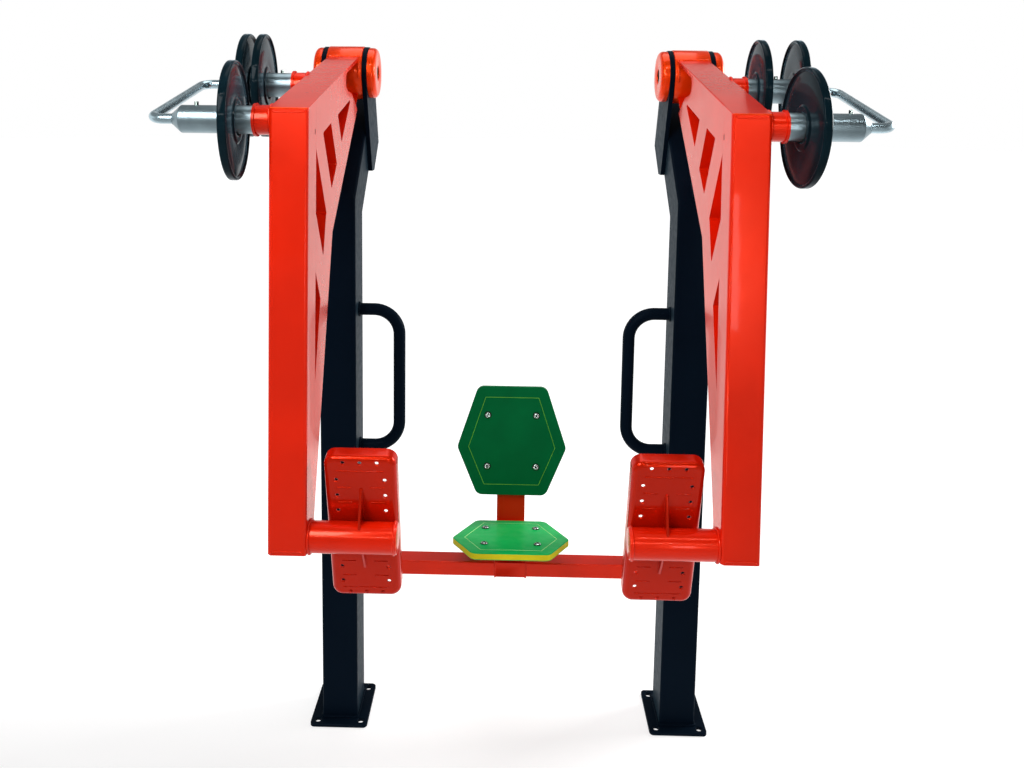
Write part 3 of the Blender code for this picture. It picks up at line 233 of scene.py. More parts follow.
def cast_enamel(name, colour, dusk):
    """Enamel over a sand casting: a soft roll and faint pits under a hard gloss."""
    made, tree, shader, place = shader_of(name)
    roll = bumped(tree, noise(tree, place, 12.0, 1.0), 0.00012)
    wire(tree, shader, {
        "Base Color": clouded(tree, place, colour, 14.0, 4.0, 0.8, 1.4),
        "Roughness": between(tree, noise(tree, place, 90.0, 3.0), 0.11, 0.16),
        "Normal": bumped(tree, noise(tree, place, 300.0, 2.0), 0.000005, roll),
        "Specular IOR Level": 0.02, "Specular Tint": (0.72, 0.90, 1.0, 1.0),
        "Coat Weight": 0.05, "Coat Roughness": 0.05, **dusk,
    })
    return made


def turned_metal(name, colour, roughness, stretch):
    """Metal with fine marks that run round it, and faint clouds in the plating."""
    made, tree, shader, place = shader_of(name)
    marks = noise(tree, place, 60.0, 1.0, stretch)
    wire(tree, shader, {
        "Base Color": clouded(tree, place, colour, 22.0, 4.0, 0.86, 1.08),
        "Roughness": between(tree, marks, roughness * 0.95, roughness * 1.08),
        "Normal": bumped(tree, marks, 0.000002), "Metallic": 0.95,
    })
    return made


def moulded(name, colour, roughness, grain, depth):
    """A plastic or rubber skin with an even grain."""
    made, tree, shader, place = shader_of(name)
    wire(tree, shader, {
        "Base Color": clouded(tree, place, colour, 7.0, 3.0, 0.88, 1.08),
        "Roughness": between(tree, noise(tree, place, 40.0, 3.0), roughness * 0.9, roughness * 1.15),
        "Normal": bumped(tree, noise(tree, place, grain, 3.0), depth), "Specular IOR Level": 0.04,
    })
    return made


MATERIALS = {}


def material(name):
    """Each finish is made once, when the first piece asks for it."""
    if name not in MATERIALS:
        look = bpy.context.scene.leg_machine_finish
        maker, *recipe = {
            # colour, roughness, clear coat, sheen, the sheen's tint, metal flake, bloom
            "red_paint": (powder_coat, look.red, look.gloss, 0.20, 0.42, (1.0, 0.48, 0.26), 0.20),
            # The hub paint is a lighter, warmer copy of the arm paint: painted light on the drums, caps, hub welds
            # and top edge beads.
            "hub_paint": (powder_coat, look.hub, look.gloss, 0.25, 0.30, (1.0, 0.42, 0.12), 0.30),
            # The pedal paint is a deeper copy of the arm paint: painted shade on the trays, ribs, rib welds and
            # pressed lines.
            "pedal_paint": (powder_coat, look.pedal, 0.20, 0.20, 0.30, (1.0, 0.28, 0.08), 0.40),
            "dark_paint": (powder_coat, look.dark, 0.42, 0.0, 0.02, (0.70, 0.88, 1.0), 0.0, bloom(0.07, 0.35)),
            "black_enamel": (cast_enamel, look.enamel, bloom(0.18, 0.30)),
            # colour, roughness, how the marks are drawn out
            "silver_steel": (turned_metal, shade(look.zinc, 1.15), 0.32, (3.0, 1.0, 1.0)),
            "tie_bar_steel": (turned_metal, shade(look.zinc, 1.9), 0.26, (1.0, 3.0, 3.0)),
            # The stainless is darker and greener than bare steel: its green is a painted reflection of the green
            # boards round the bolts.
            "stainless": (turned_metal, (0.36, 0.43, 0.40), 0.24, (1.0, 1.0, 1.0)),
            "bronze": (turned_metal, (0.50, 0.30, 0.12), 0.36, (10.0, 1.0, 1.0)),
            # colour, roughness, grains per metre, the grain's depth
            "pale_line": (moulded, (0.42, 0.80, 0.34), 0.50, 500.0, 0.00005),
            # The backrest's line and skin are darker copies of the seat's line and skin: painted shade.
            "groove_line": (moulded, (0.16, 0.50, 0.060), 0.50, 500.0, 0.00005),
            "green_board": (moulded, look.board, 0.40, 700.0, 0.00003),
            "backrest_board": (moulded, look.back, 0.40, 700.0, 0.00003),
            "yellow_core": (moulded, look.core, 0.50, 500.0, 0.00012),
            "black_rubber": (moulded, (0.010, 0.010, 0.010), 0.75, 260.0, 0.00025),
            # Near-black painted shade, put in holes, slots and under bolt heads where shade falls.
            "recess": (moulded, (0.004, 0.004, 0.005), 0.60, 200.0, 0.00010),
        }[name]
        MATERIALS[name] = maker(name, *recipe)
    return MATERIALS[name]


# Points and outlines

def box_of(node):
    """The two corners of a solid's box and its middle."""
    low, high = (Vector(corner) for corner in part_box(node))
    return low, high, (low + high) / 2


def reach_of(node):
    """How near to the machine's middle a solid comes, and how far from it."""
    low, high, _ = box_of(node)
    return sorted((abs(low.x), abs(high.x)))


def arc(corner, back, ahead, reach, radius, steps):
    """Points round a corner, from a reach before it to the same reach after it."""
    half = back.angle(ahead) / 2
    centre = corner + (back + ahead).normalized() * (radius / math.sin(half))
    start, end = corner + back * reach - centre, corner + ahead * reach - centre
    return [centre + start.lerp(end, step / steps).normalized() * radius for step in range(steps + 1)]


def rounded(corners, radius, steps):
    """A closed outline with each corner replaced by an arc that touches both its edges."""
    points = []
    for index, corner in enumerate(corners):
        back = (corners[index - 1] - corner).normalized()
        ahead = (corners[(index + 1) % len(corners)] - corner).normalized()
        points += arc(corner, back, ahead, radius / math.tan(back.angle(ahead) / 2), radius, steps)
    return points


def bent(route, radius, steps):
    """An open route in space with each inner corner replaced by an arc."""
    points = [route[0]]
    for before, corner, after in zip(route, route[1:], route[2:]):
        back, ahead = (before - corner).normalized(), (after - corner).normalized()
        points += arc(corner, back, ahead, radius / math.tan(back.angle(ahead) / 2), radius, steps)
    return points + [route[-1]]


def eased(profile, radius, steps=4):
    """A turned profile whose corners are rounded, but for those at its two ends and the nearly straight ones."""
    nearly_straight, most_of_a_side = math.radians(80), 0.45
    points = [Vector(pair) for pair in profile]
    result = [points[0]]
    for before, corner, after in zip(points, points[1:], points[2:]):
        back, ahead = before - corner, after - corner
        reach = min(radius, back.length * most_of_a_side, ahead.length * most_of_a_side)
        half = back.angle(ahead) / 2
        if half > nearly_straight:
            result.append(corner)
        else:
            result += arc(corner, back.normalized(), ahead.normalized(), reach, reach * math.tan(half), steps)
    return [tuple(point) for point in result + [points[-1]]]


def box_outline(width, length):
    return [Vector((x * width / 2, y * length / 2)) for x, y in ((-1, -1), (1, -1), (1, 1), (-1, 1))]


def circle(centre, radius, first, second, count=40):
    """Points round a circle in the plane of two directions."""
    turns = [2 * math.pi * step / count for step in range(count)]
    return [centre + (first * math.cos(turn) + second * math.sin(turn)) * radius for turn in turns]


def hoop(x, middle, radius, count=40):
    """A closed path round a middle in the side view."""
    return circle(Vector((x, *middle)), radius, BACK, UP, count), True


def boxed_path(x, low, high, away):
    """A closed path round a tube's end in the plane of one x, a little off its faces."""
    (y0, z0), (y1, z1) = low, high
    return [Vector((x, y0 - away, z0 - away)), Vector((x, y1 + away, z0 - away)),
            Vector((x, y1 + away, z1 + away)), Vector((x, y0 - away, z1 + away))], True


def along_x(side, x, middle):
    """Places a turned profile: outwards along the machine's width, and round a middle in the side view."""
    return lambda along, a, b: Vector((side * (x + along), middle[0] + a, middle[1] + b))


# Meshes and pieces

def skin(bm, rings, closed=False):
    """Faces between rings of points; a ring of one point is a tip, and open ends are filled flat."""
    made = [[bm.verts.new(point) for point in ring] for ring in rings]
    pairs = list(zip(made, made[1:]))
    if closed:
        pairs.append((made[-1], made[0]))
    for low, high in pairs:
        count = max(len(low), len(high))
        for index in range(count):
            after = (index + 1) % count
            if len(low) == 1:
                bm.faces.new((low[0], high[index], high[after]))
            elif len(high) == 1:
                bm.faces.new((low[index], low[after], high[0]))
            else:
                bm.faces.new((low[index], low[after], high[after], high[index]))
    if not closed:
        for ring in (made[0], made[-1]):
            if len(ring) > 2:
                bm.faces.new(ring)
    return made


def turned(bm, profile, sides, place, closed=False):
    """A turned solid from pairs of distance along its axis and radius."""
    turns = [2 * math.pi * step / sides for step in range(sides)]
    rings = []
    for along, radius in profile:
        if radius <= 0.0:
            rings.append([place(along, 0.0, 0.0)])
        else:
            rings.append([place(along, radius * math.cos(turn), radius * math.sin(turn)) for turn in turns])
    skin(bm, rings, closed)


def smooth(mesh):
    """Smooth faces, with the hard edges marked."""
    mesh.shade_smooth()
    mesh.set_sharp_from_angle(angle=HARD)
    return mesh


def plain_mesh(bm, name):
    mesh = bpy.data.meshes.new(name)
    bm.to_mesh(mesh)
    bm.free()
    return mesh


def mesh_of(bm, name):
    """A smooth mesh with its faces turned outwards."""
    bmesh.ops.recalc_face_normals(bm, faces=bm.faces)
    return smooth(plain_mesh(bm, name))


def lofted(name, rings):
    """The mesh of a solid skinned over rings."""
    bm = bmesh.new()
    skin(bm, rings)
    return mesh_of(bm, name)


def lathed(name, profile, sides, place, closed=False):
    """The mesh of a turned solid."""
    bm = bmesh.new()
    turned(bm, profile, sides, place, closed)
    return mesh_of(bm, name)


def swept(name, route, radius, sides):
    """The mesh of a round bar along a route, with flat ends."""
    across = (route[1] - route[0]).cross(UP).normalized()
    rings = []
    for index, point in enumerate(route):
        ahead = (route[min(index + 1, len(route) - 1)] - route[max(index - 1, 0)]).normalized()
        across = (across - ahead * across.dot(ahead)).normalized()
        rings.append(circle(point, radius, across, ahead.cross(across), sides))
    return lofted(name, rings)


def piece(name, mesh, body, slot, *nodes, finish=None):
    """Puts a finished mesh in the scene with its paint, the finish or else the slot's, under its body, and hides the
    solids it stands for.
    """
    thing = shown(mesh, name)
    if not mesh.materials:
        mesh.materials.append(material(finish or slot))
    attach(thing, body)
    if nodes:
        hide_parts(*nodes)
    return thing


def weighted(thing):
    """Keeps flat faces flat where they meet a rounded edge."""
    even = thing.modifiers.new("even faces", "WEIGHTED_NORMAL")
    even.keep_sharp = True
    even.weight = 60


def kept(node, finish):
    """A solid of the frame that stays, with its finish."""
    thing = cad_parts[node]
    for place in thing.material_slots:
        place.material = material(finish)
    if not thing.material_slots:
        thing.data.materials.append(material(finish))


def shown(data, name=None):
    """A new object in the scene, for a mesh, a lamp or the camera."""
    thing = bpy.data.objects.new(name or data.name, data)
    bpy.context.scene.collection.objects.link(thing)
    return thing


def baked(thing):
    """The mesh of an object as its modifiers make it; the object itself goes."""
    graph = bpy.context.evaluated_depsgraph_get()
    mesh = bpy.data.meshes.new_from_object(thing.evaluated_get(graph), depsgraph=graph)
    old = thing.data
    bpy.data.objects.remove(thing)
    bpy.data.meshes.remove(old)
    return mesh


def carved(mesh, cutter):
    """A mesh with another cut out of it."""
    target, tool = shown(mesh), shown(cutter)
    cut = target.modifiers.new("cut", "BOOLEAN")
    cut.operation = "DIFFERENCE"
    cut.object = tool
    result = baked(target)
    bpy.data.objects.remove(tool)
    return smooth(result)


def softened(node, edge, fine_edge, long_edge=0.20, spared=None):
    """A copy of a solid of the frame, its long outer edges rounded and its cut edges eased, but for those spared."""
    bm = bmesh.new()
    bm.from_mesh(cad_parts[node].data)
    bmesh.ops.remove_doubles(bm, verts=bm.verts, dist=SAME_POINT)
    bmesh.ops.dissolve_limit(bm, angle_limit=FLAT, verts=bm.verts, edges=bm.edges)
    for width, low, high in ((edge, long_edge, math.inf), (fine_edge, SHORTEST_EDGE, long_edge)):
        chosen = [e for e in bm.edges if e.is_manifold and low <= e.calc_length() < high
                  and e.calc_face_angle_signed(0.0) > HARD and not (spared and all(spared(v.co) for v in e.verts))]
        if chosen:
            bmesh.ops.bevel(bm, geom=chosen, offset=width, segments=3, profile=0.5, affect="EDGES",
                            clamp_overlap=True)
            bm.normal_update()
    return smooth(plain_mesh(bm, node + "_dressed"))


def painted(node, body, slot, *softening):
    """A solid of the frame in its paint, with its edges eased."""
    weighted(piece(node + "_paint", softened(node, *softening), body, slot, node))


# Geometry Nodes: what repeats or follows a path

def node_group(name, sockets):
    """An empty tree with a geometry in and out and named inputs; returns it and its two end nodes."""
    tree = bpy.data.node_groups.new(name, "GeometryNodeTree")
    for label, kind in {"Geometry": "NodeSocketGeometry", **sockets, "Material": "NodeSocketMaterial"}.items():
        tree.interface.new_socket(name=label, in_out="INPUT", socket_type=kind)
    tree.interface.new_socket(name="Geometry", in_out="OUTPUT", socket_type="NodeSocketGeometry")
    return tree, tree.nodes.new("NodeGroupInput"), tree.nodes.new("NodeGroupOutput")


def bead_tree():
    """A weld: overlapping ripples of uneven size along each path, over a thin core."""
    core_share, seed = 0.86, 7
    tree, given, result = node_group("weld_bead", {
        "Radius": "NodeSocketFloat", "Ripple": "NodeSocketFloat", "Unevenness": "NodeSocketFloat"})
    radius = given.outputs["Radius"]
    path = joined(tree, "GeometryNodeMeshToCurve", {"Mesh": given.outputs["Geometry"]}).outputs[0]
    dots = joined(tree, "GeometryNodeCurveToPoints", {"Curve": path, "Length": given.outputs["Ripple"]},
                  mode="LENGTH")
    ball = joined(tree, "GeometryNodeMeshIcoSphere", {"Radius": radius, "Subdivisions": 2})
    least = joined(tree, "ShaderNodeMath", {0: 1.0, 1: given.outputs["Unevenness"]}, operation="SUBTRACT")
    amount = joined(tree, "FunctionNodeRandomValue", {"Min": least.outputs[0], "Max": 1.0, "Seed": seed},
                    data_type="FLOAT")
    ripples = joined(tree, "GeometryNodeInstanceOnPoints", {
        "Points": dots.outputs["Points"], "Instance": ball.outputs[0], "Rotation": dots.outputs["Rotation"],
        "Scale": amount.outputs["Value"]})
    ring = joined(tree, "GeometryNodeCurvePrimitiveCircle", {"Resolution": 10, "Radius": radius})
    slimmer = joined(tree, "GeometryNodeTransform", {"Geometry": ring.outputs["Curve"], "Scale": (core_share,) * 3})
    core = joined(tree, "GeometryNodeCurveToMesh", {"Curve": path, "Profile Curve": slimmer.outputs[0],
                                                    "Fill Caps": True})
    both = joined(tree, "GeometryNodeJoinGeometry", {0: ripples.outputs[0]})
    tree.links.new(core.outputs[0], both.inputs[0])
    real = joined(tree, "GeometryNodeRealizeInstances", {"Geometry": both.outputs[0]})
    even = joined(tree, "GeometryNodeSetShadeSmooth", {"Geometry": real.outputs[0]})
    wire(tree, result, {0: joined(tree, "GeometryNodeSetMaterial", {
        "Geometry": even.outputs[0], "Material": given.outputs["Material"]}).outputs[0]})
    return tree


def scatter_tree():
    """One copy of a piece on each point, standing along the point's own direction."""
    tree, given, result = node_group("piece_on_points", {"Piece": "NodeSocketObject"})
    facing = joined(tree, "GeometryNodeInputNamedAttribute", {"Name": "facing"}, data_type="FLOAT_VECTOR")
    turn = joined(tree, "FunctionNodeAlignRotationToVector", {"Vector": facing.outputs["Attribute"]}, axis="Z")
    info = joined(tree, "GeometryNodeObjectInfo", {"Object": given.outputs["Piece"]})
    copies = joined(tree, "GeometryNodeInstanceOnPoints", {
        "Points": given.outputs["Geometry"], "Instance": info.outputs["Geometry"], "Rotation": turn.outputs[0]})
    real = joined(tree, "GeometryNodeRealizeInstances", {"Geometry": copies.outputs[0]})
    wire(tree, result, {0: joined(tree, "GeometryNodeSetMaterial", {
        "Geometry": real.outputs[0], "Material": given.outputs["Material"]}).outputs[0]})
    return tree


TREES = {}


def grown(mesh, maker, values):
    """What a tree makes of a mesh, as a plain mesh; each tree is made once."""
    if maker not in TREES:
        TREES[maker] = maker()
    thing = shown(mesh)
    modifier = thing.modifiers.new(TREES[maker].name, "NODES")
    modifier.node_group = TREES[maker]
    sockets = {item.name: item.identifier for item in TREES[maker].interface.items_tree if item.in_out == "INPUT"}
    for label, value in values.items():
        modifier[sockets[label]] = value
    return baked(thing)


def path_mesh(paths):
    """A mesh of edges along paths, each a list of points and whether it closes."""
    bm = bmesh.new()
    for points, loop in paths:
        verts = [bm.verts.new(point) for point in points]
        for first, second in zip(verts, verts[1:]):
            bm.edges.new((first, second))
        if loop:
            bm.edges.new((verts[-1], verts[0]))
    return plain_mesh(bm, "paths")


def weld(name, paths, body, slot, radius_share=1.0, ripple_share=1.0, unevenness=0.22, finish=None):
    """Weld beads along paths, as one piece."""
    size = sizes()
    mesh = grown(path_mesh(paths), bead_tree, {
        "Radius": size.bead * radius_share, "Ripple": size.bead_step * ripple_share,
        "Unevenness": unevenness, "Material": material(finish or slot)})
    piece(name, mesh, body, slot)


class MACHINE_OT_posts(bpy.types.Operator):
    """Posts, base plates and pivot cheeks, with their welds"""
    bl_idname = "machine.posts"
    bl_label = "Posts"

    def execute(self, context):
        size = sizes()
        post_share, cheek_long_edge = 1.3, 0.05
        for hand in HANDS:
            painted(hand + "_post", "frame", "dark_paint", size.edge * post_share, size.fine_edge)
            for which in ("inner", "outer"):
                painted(f"{hand}_{which}_pivot_cheek", "frame", "dark_paint", size.fine_edge, size.fine_edge,
                        cheek_long_edge)
            self.base_plate(hand)
            kept(hand + "_arm_stop_buffer", "black_rubber")
        self.welds()
        return DONE

    def base_plate(self, hand):
        """A plate with round corners and four countersunk holes."""
        low, high, middle = box_of(hand + "_base_plate")
        corner, hole, inset, lip, past = 0.012, 0.009, 0.020, 0.0012, 0.004
        width, depth = high.x - low.x, high.y - low.y
        rings = []
        for height, drawn in ((low.z, lip), (low.z + lip, 0.0), (high.z - lip, 0.0), (high.z, lip)):
            outline = rounded(box_outline(width - 2 * drawn, depth - 2 * drawn), corner - drawn, CORNER_STEPS)
            rings.append([Vector((middle.x + p.x, middle.y + p.y, height)) for p in outline])
        profile = ((low.z - past, hole), (high.z - lip, hole), (high.z + lip, hole + 2 * lip),
                   (high.z + past, hole + 2 * lip))
        holes = bmesh.new()
        for spot in box_outline(width - 2 * inset, depth - 2 * inset):
            centre = middle + spot.to_3d()
            turned(holes, profile, 32, lambda along, a, b: Vector((centre.x + a, centre.y + b, along)))
        mesh = carved(lofted(hand + "_base", rings), mesh_of(holes, hand + "_anchor_holes"))
        weighted(piece(hand + "_base_plate_paint", mesh, "frame", "dark_paint", hand + "_base_plate"))

    def welds(self):
        """A bead round the foot of each post."""
        away, corner, lift = 0.001, 0.006, 0.0012
        paths = []
        for hand in HANDS:
            plate_low, plate_high, _ = box_of(hand + "_base_plate")
            low, high, middle = box_of(hand + "_post")
            outline = rounded(box_outline(high.x - low.x + 2 * away, POST_DEPTH + 2 * away), corner, 4)
            centre_y = plate_low.y + POST_TOE + POST_DEPTH / 2
            paths.append(([Vector((middle.x + p.x, centre_y + p.y, plate_high.z + lift)) for p in outline], True))
        weld("post_foot_welds", paths, "frame", "dark_paint", 1.15)


class MACHINE_OT_handles(bpy.types.Operator):
    """Grab handles, bent from round tube"""
    bl_idname = "machine.handles"
    bl_label = "Grab handles"

    def execute(self, context):
        bend, off_post, off_tube = 0.070, 0.0015, 0.0012
        rings = []
        for hand, side in HANDS.items():
            low, high, middle = box_of(hand + "_grab_handle")
            radius = (high.y - low.y) / 2
            near, far = (high.x, low.x) if side > 0 else (low.x, high.x)
            heights = (high.z - radius, low.z + radius)
            bar = far + side * radius
            spots = ((near, heights[0]), (bar, heights[0]), (bar, heights[1]), (near, heights[1]))
            route = bent([Vector((x, middle.y, z)) for x, z in spots], bend, 14)
            piece(hand + "_grab_tube", swept(hand + "_grab", route, radius, 40), "frame", "dark_paint",
                  hand + "_grab_handle")
            rings += [hoop(near - side * off_post, (middle.y, height), radius + off_tube) for height in heights]
        weld("grab_handle_welds", rings, "frame", "dark_paint", 0.9)
        return DONE


class MACHINE_OT_hubs(bpy.types.Operator):
    """Pivot drums, end caps, shafts and bushes"""
    bl_idname = "machine.hubs"
    bl_label = "Hubs"

    def execute(self, context):
        bore, lip = 0.0263, 0.0025
        for hand, side in HANDS.items():
            low, high, _ = box_of(hand + "_hub_drum")
            inner, outer = reach_of(hand + "_hub_drum")
            length, radius = outer - inner, (high.z - low.z) / 2
            profile = [(0.0, bore), (0.0, radius - lip), (lip / 2, radius - lip / 4), (lip, radius),
                       (length - lip, radius), (length - lip / 2, radius - lip / 4), (length, radius - lip),
                       (length, bore)]
            drum = lathed(hand + "_drum", profile, 96, along_x(side, inner, PIVOT), closed=True)
            # The drum takes the lighter hub paint: painted light.
            piece(hand + "_drum_paint", drum, hand + "_arm", "red_paint", hand + "_hub_drum", finish="hub_paint")
            kept(hand + "_pivot_bush", "bronze")
            kept(hand + "_pivot_shaft", "silver_steel")
            for which, outward in (("inner", -1), ("outer", 1)):
                self.cap(hand, side, which, outward)
        return DONE

    def cap(self, hand, side, which, outward):
        """A spun end cap with a round shoulder, in the lighter hub paint, and a hole on the axis whose walls and
        floor are painted near-black as shade.
        """
        node = f"{hand}_{which}_hub_cap"
        low, high, _ = box_of(node)
        near, far = reach_of(node)
        start = far if outward < 0 else near
        depth, radius, shoulder, lip = far - near, (high.z - low.z) / 2, 0.013, 0.0015
        hole, sunk, hole_lip, wall_top = 0.0205, 0.009, 0.003, 0.0025
        profile = [(0.0, 0.0), (0.0, radius - lip), (lip, radius), (depth - shoulder, radius)]
        for step in range(1, CORNER_STEPS + 1):
            turn = math.pi / 2 * step / CORNER_STEPS
            profile.append((depth + shoulder * (math.sin(turn) - 1), radius + shoulder * (math.cos(turn) - 1)))
        profile += [(depth, hole + hole_lip), (depth - 0.001, hole + 0.0008), (depth - hole_lip, hole),
                    (depth - sunk, hole), (depth - sunk, 0.0)]
        mesh = lathed(f"{hand}_{which}_cap", [(outward * along, r) for along, r in profile], 96,
                      along_x(side, start, PIVOT))
        # The cap takes the lighter hub paint, which is painted light, and a near-black second material, which is
        # painted shade.
        for finish in ("hub_paint", "recess"):
            mesh.materials.append(material(finish))
        # Faces inside the hole take the near-black: painted shade where the hole is dark.
        floor = abs(start + outward * (depth - sunk))
        for face in mesh.polygons:
            off_axis = (Vector((face.center.y, face.center.z)) - PIVOT).length
            if off_axis < hole + 0.0002 and abs(abs(face.center.x) - floor) < sunk - wall_top:
                face.material_index = 1
        piece(f"{hand}_{which}_cap_paint", mesh, "frame", "red_paint", node)


class MACHINE_OT_arms(bpy.types.Operator):
    """Front tubes and lattices of both arms, with their welds"""
    bl_idname = "machine.arms"
    bl_label = "Arms"

    def execute(self, context):
        size = sizes()
        edge_shares, long_edge = {"_arm_front_tube": 1.7, "_arm_lattice": 0.7}, 0.30
        for hand, side in HANDS.items():
            arm = hand + "_arm"
            for part, share in edge_shares.items():
                painted(hand + part, arm, "red_paint", size.edge * share, size.fine_edge, long_edge, self.at_seam)
            self.vent(hand, side, arm)
            self.cap_seams(hand, side, arm)
            self.hub_welds(hand, side, arm)
            middles = [box_of(f"{hand}_{end}_weight_sleeve")[2] for end in ("front", "rear")]
            rings = [hoop(side * (ARM_OUTER + 0.0015), (middle.y, middle.z), 0.0330) for middle in middles]
            weld(hand + "_stub_welds", rings, arm, "red_paint", 0.9)
        return DONE

    def at_seam(self, point):
        """Where the front tube and the lattice are ground flush, or on the small vent beside the seam."""
        down = (SEAM_FOOT - SEAM_TOP).normalized()
        spot = Vector((point.y, point.z))
        return abs((spot - SEAM_TOP).cross(down)) < SEAM_WIDTH or (spot - VENT).length < VENT_LENGTH

    def vent(self, hand, side, arm):
        """The slot that lets the tube drain: a dark block just under the inner face, painted shade for the tube's
        dark inside.
        """
        under, deep, corner = 0.0002, 0.0030, 0.0010
        down = (SEAM_FOOT - SEAM_TOP).normalized()
        across = Vector((-down.y, down.x))
        outline = rounded(box_outline(VENT_WIDTH + VENT_SPARE, VENT_LENGTH + VENT_SPARE), corner, 3)
        spots = [VENT + across * p.x + down * p.y for p in outline]
        rings = [[Vector((side * (ARM_INNER + x), *spot)) for spot in spots] for x in (under, deep)]
        # The block takes the near-black finish: painted shade.
        piece(hand + "_vent", lofted(hand + "_vent", rings), arm, "red_paint", finish="recess")

    def cap_seams(self, hand, side, arm):
        """The line that the plates closing the tube's ends leave on its front, turned up at both sides."""
        down = (ARM_FOOT - ARM_TOP).normalized()
        line = ((0.0080, 0.0035), (0.0095, 0.0072), (0.0150, 0.0088))  # in from the side, and along the tube
        corners = [(ARM_INNER + x, drop) for x, drop in line] + [(ARM_OUTER - x, drop) for x, drop in reversed(line)]
        paths = []
        for start, run in ((ARM_TOP, 1), (ARM_FOOT, -1)):
            paths.append(([Vector((side * x, *(start + down * (drop * run)))) for x, drop in corners], False))
        weld(hand + "_cap_seams", paths, arm, "red_paint", 0.50, 0.3, 0.0)
        # A thin bead along the top front edge, rounded to catch the light and coloured in the lighter hub paint: a
        # painted highlight.
        inset, sunk = 0.004, 0.0006
        ends = (ARM_INNER + inset, ARM_OUTER - inset)
        edge = [Vector((side * x, ARM_TOP.x + sunk, ARM_TOP.y - sunk)) for x in ends]
        weld(hand + "_cap_edge", [(edge, False)], arm, "red_paint", 0.60, 0.3, 0.05, finish="hub_paint")

    def hub_welds(self, hand, side, arm):
        """A bead where the arm's top meets the drum, and one down each side of it."""
        drum, bead_line, inset, sweep, steps = 0.0748, 0.0752, 0.001, math.radians(46), 12
        rise = Vector((math.cos(TOP_STRIP_RISE), math.sin(TOP_STRIP_RISE)))
        offset = ARM_TOP - PIVOT
        half = offset.dot(rise)
        seat = ARM_TOP + rise * (-half - math.sqrt(half * half - offset.length_squared + drum ** 2))
        sides = (side * (ARM_INNER + inset), side * (ARM_OUTER - inset))
        paths = [([Vector((x, *seat)) for x in sides], False)]
        start = math.atan2(seat.y - PIVOT.y, seat.x - PIVOT.x)
        turns = [start + sweep * step / steps for step in range(steps + 1)]
        for x in sides:
            paths.append(([Vector((x, PIVOT.x + bead_line * math.cos(turn), PIVOT.y + bead_line * math.sin(turn)))
                           for turn in turns], False))
        # The hub welds take the lighter hub paint: painted light.
        weld(hand + "_hub_welds", paths, arm, "red_paint", 1.15, finish="hub_paint")


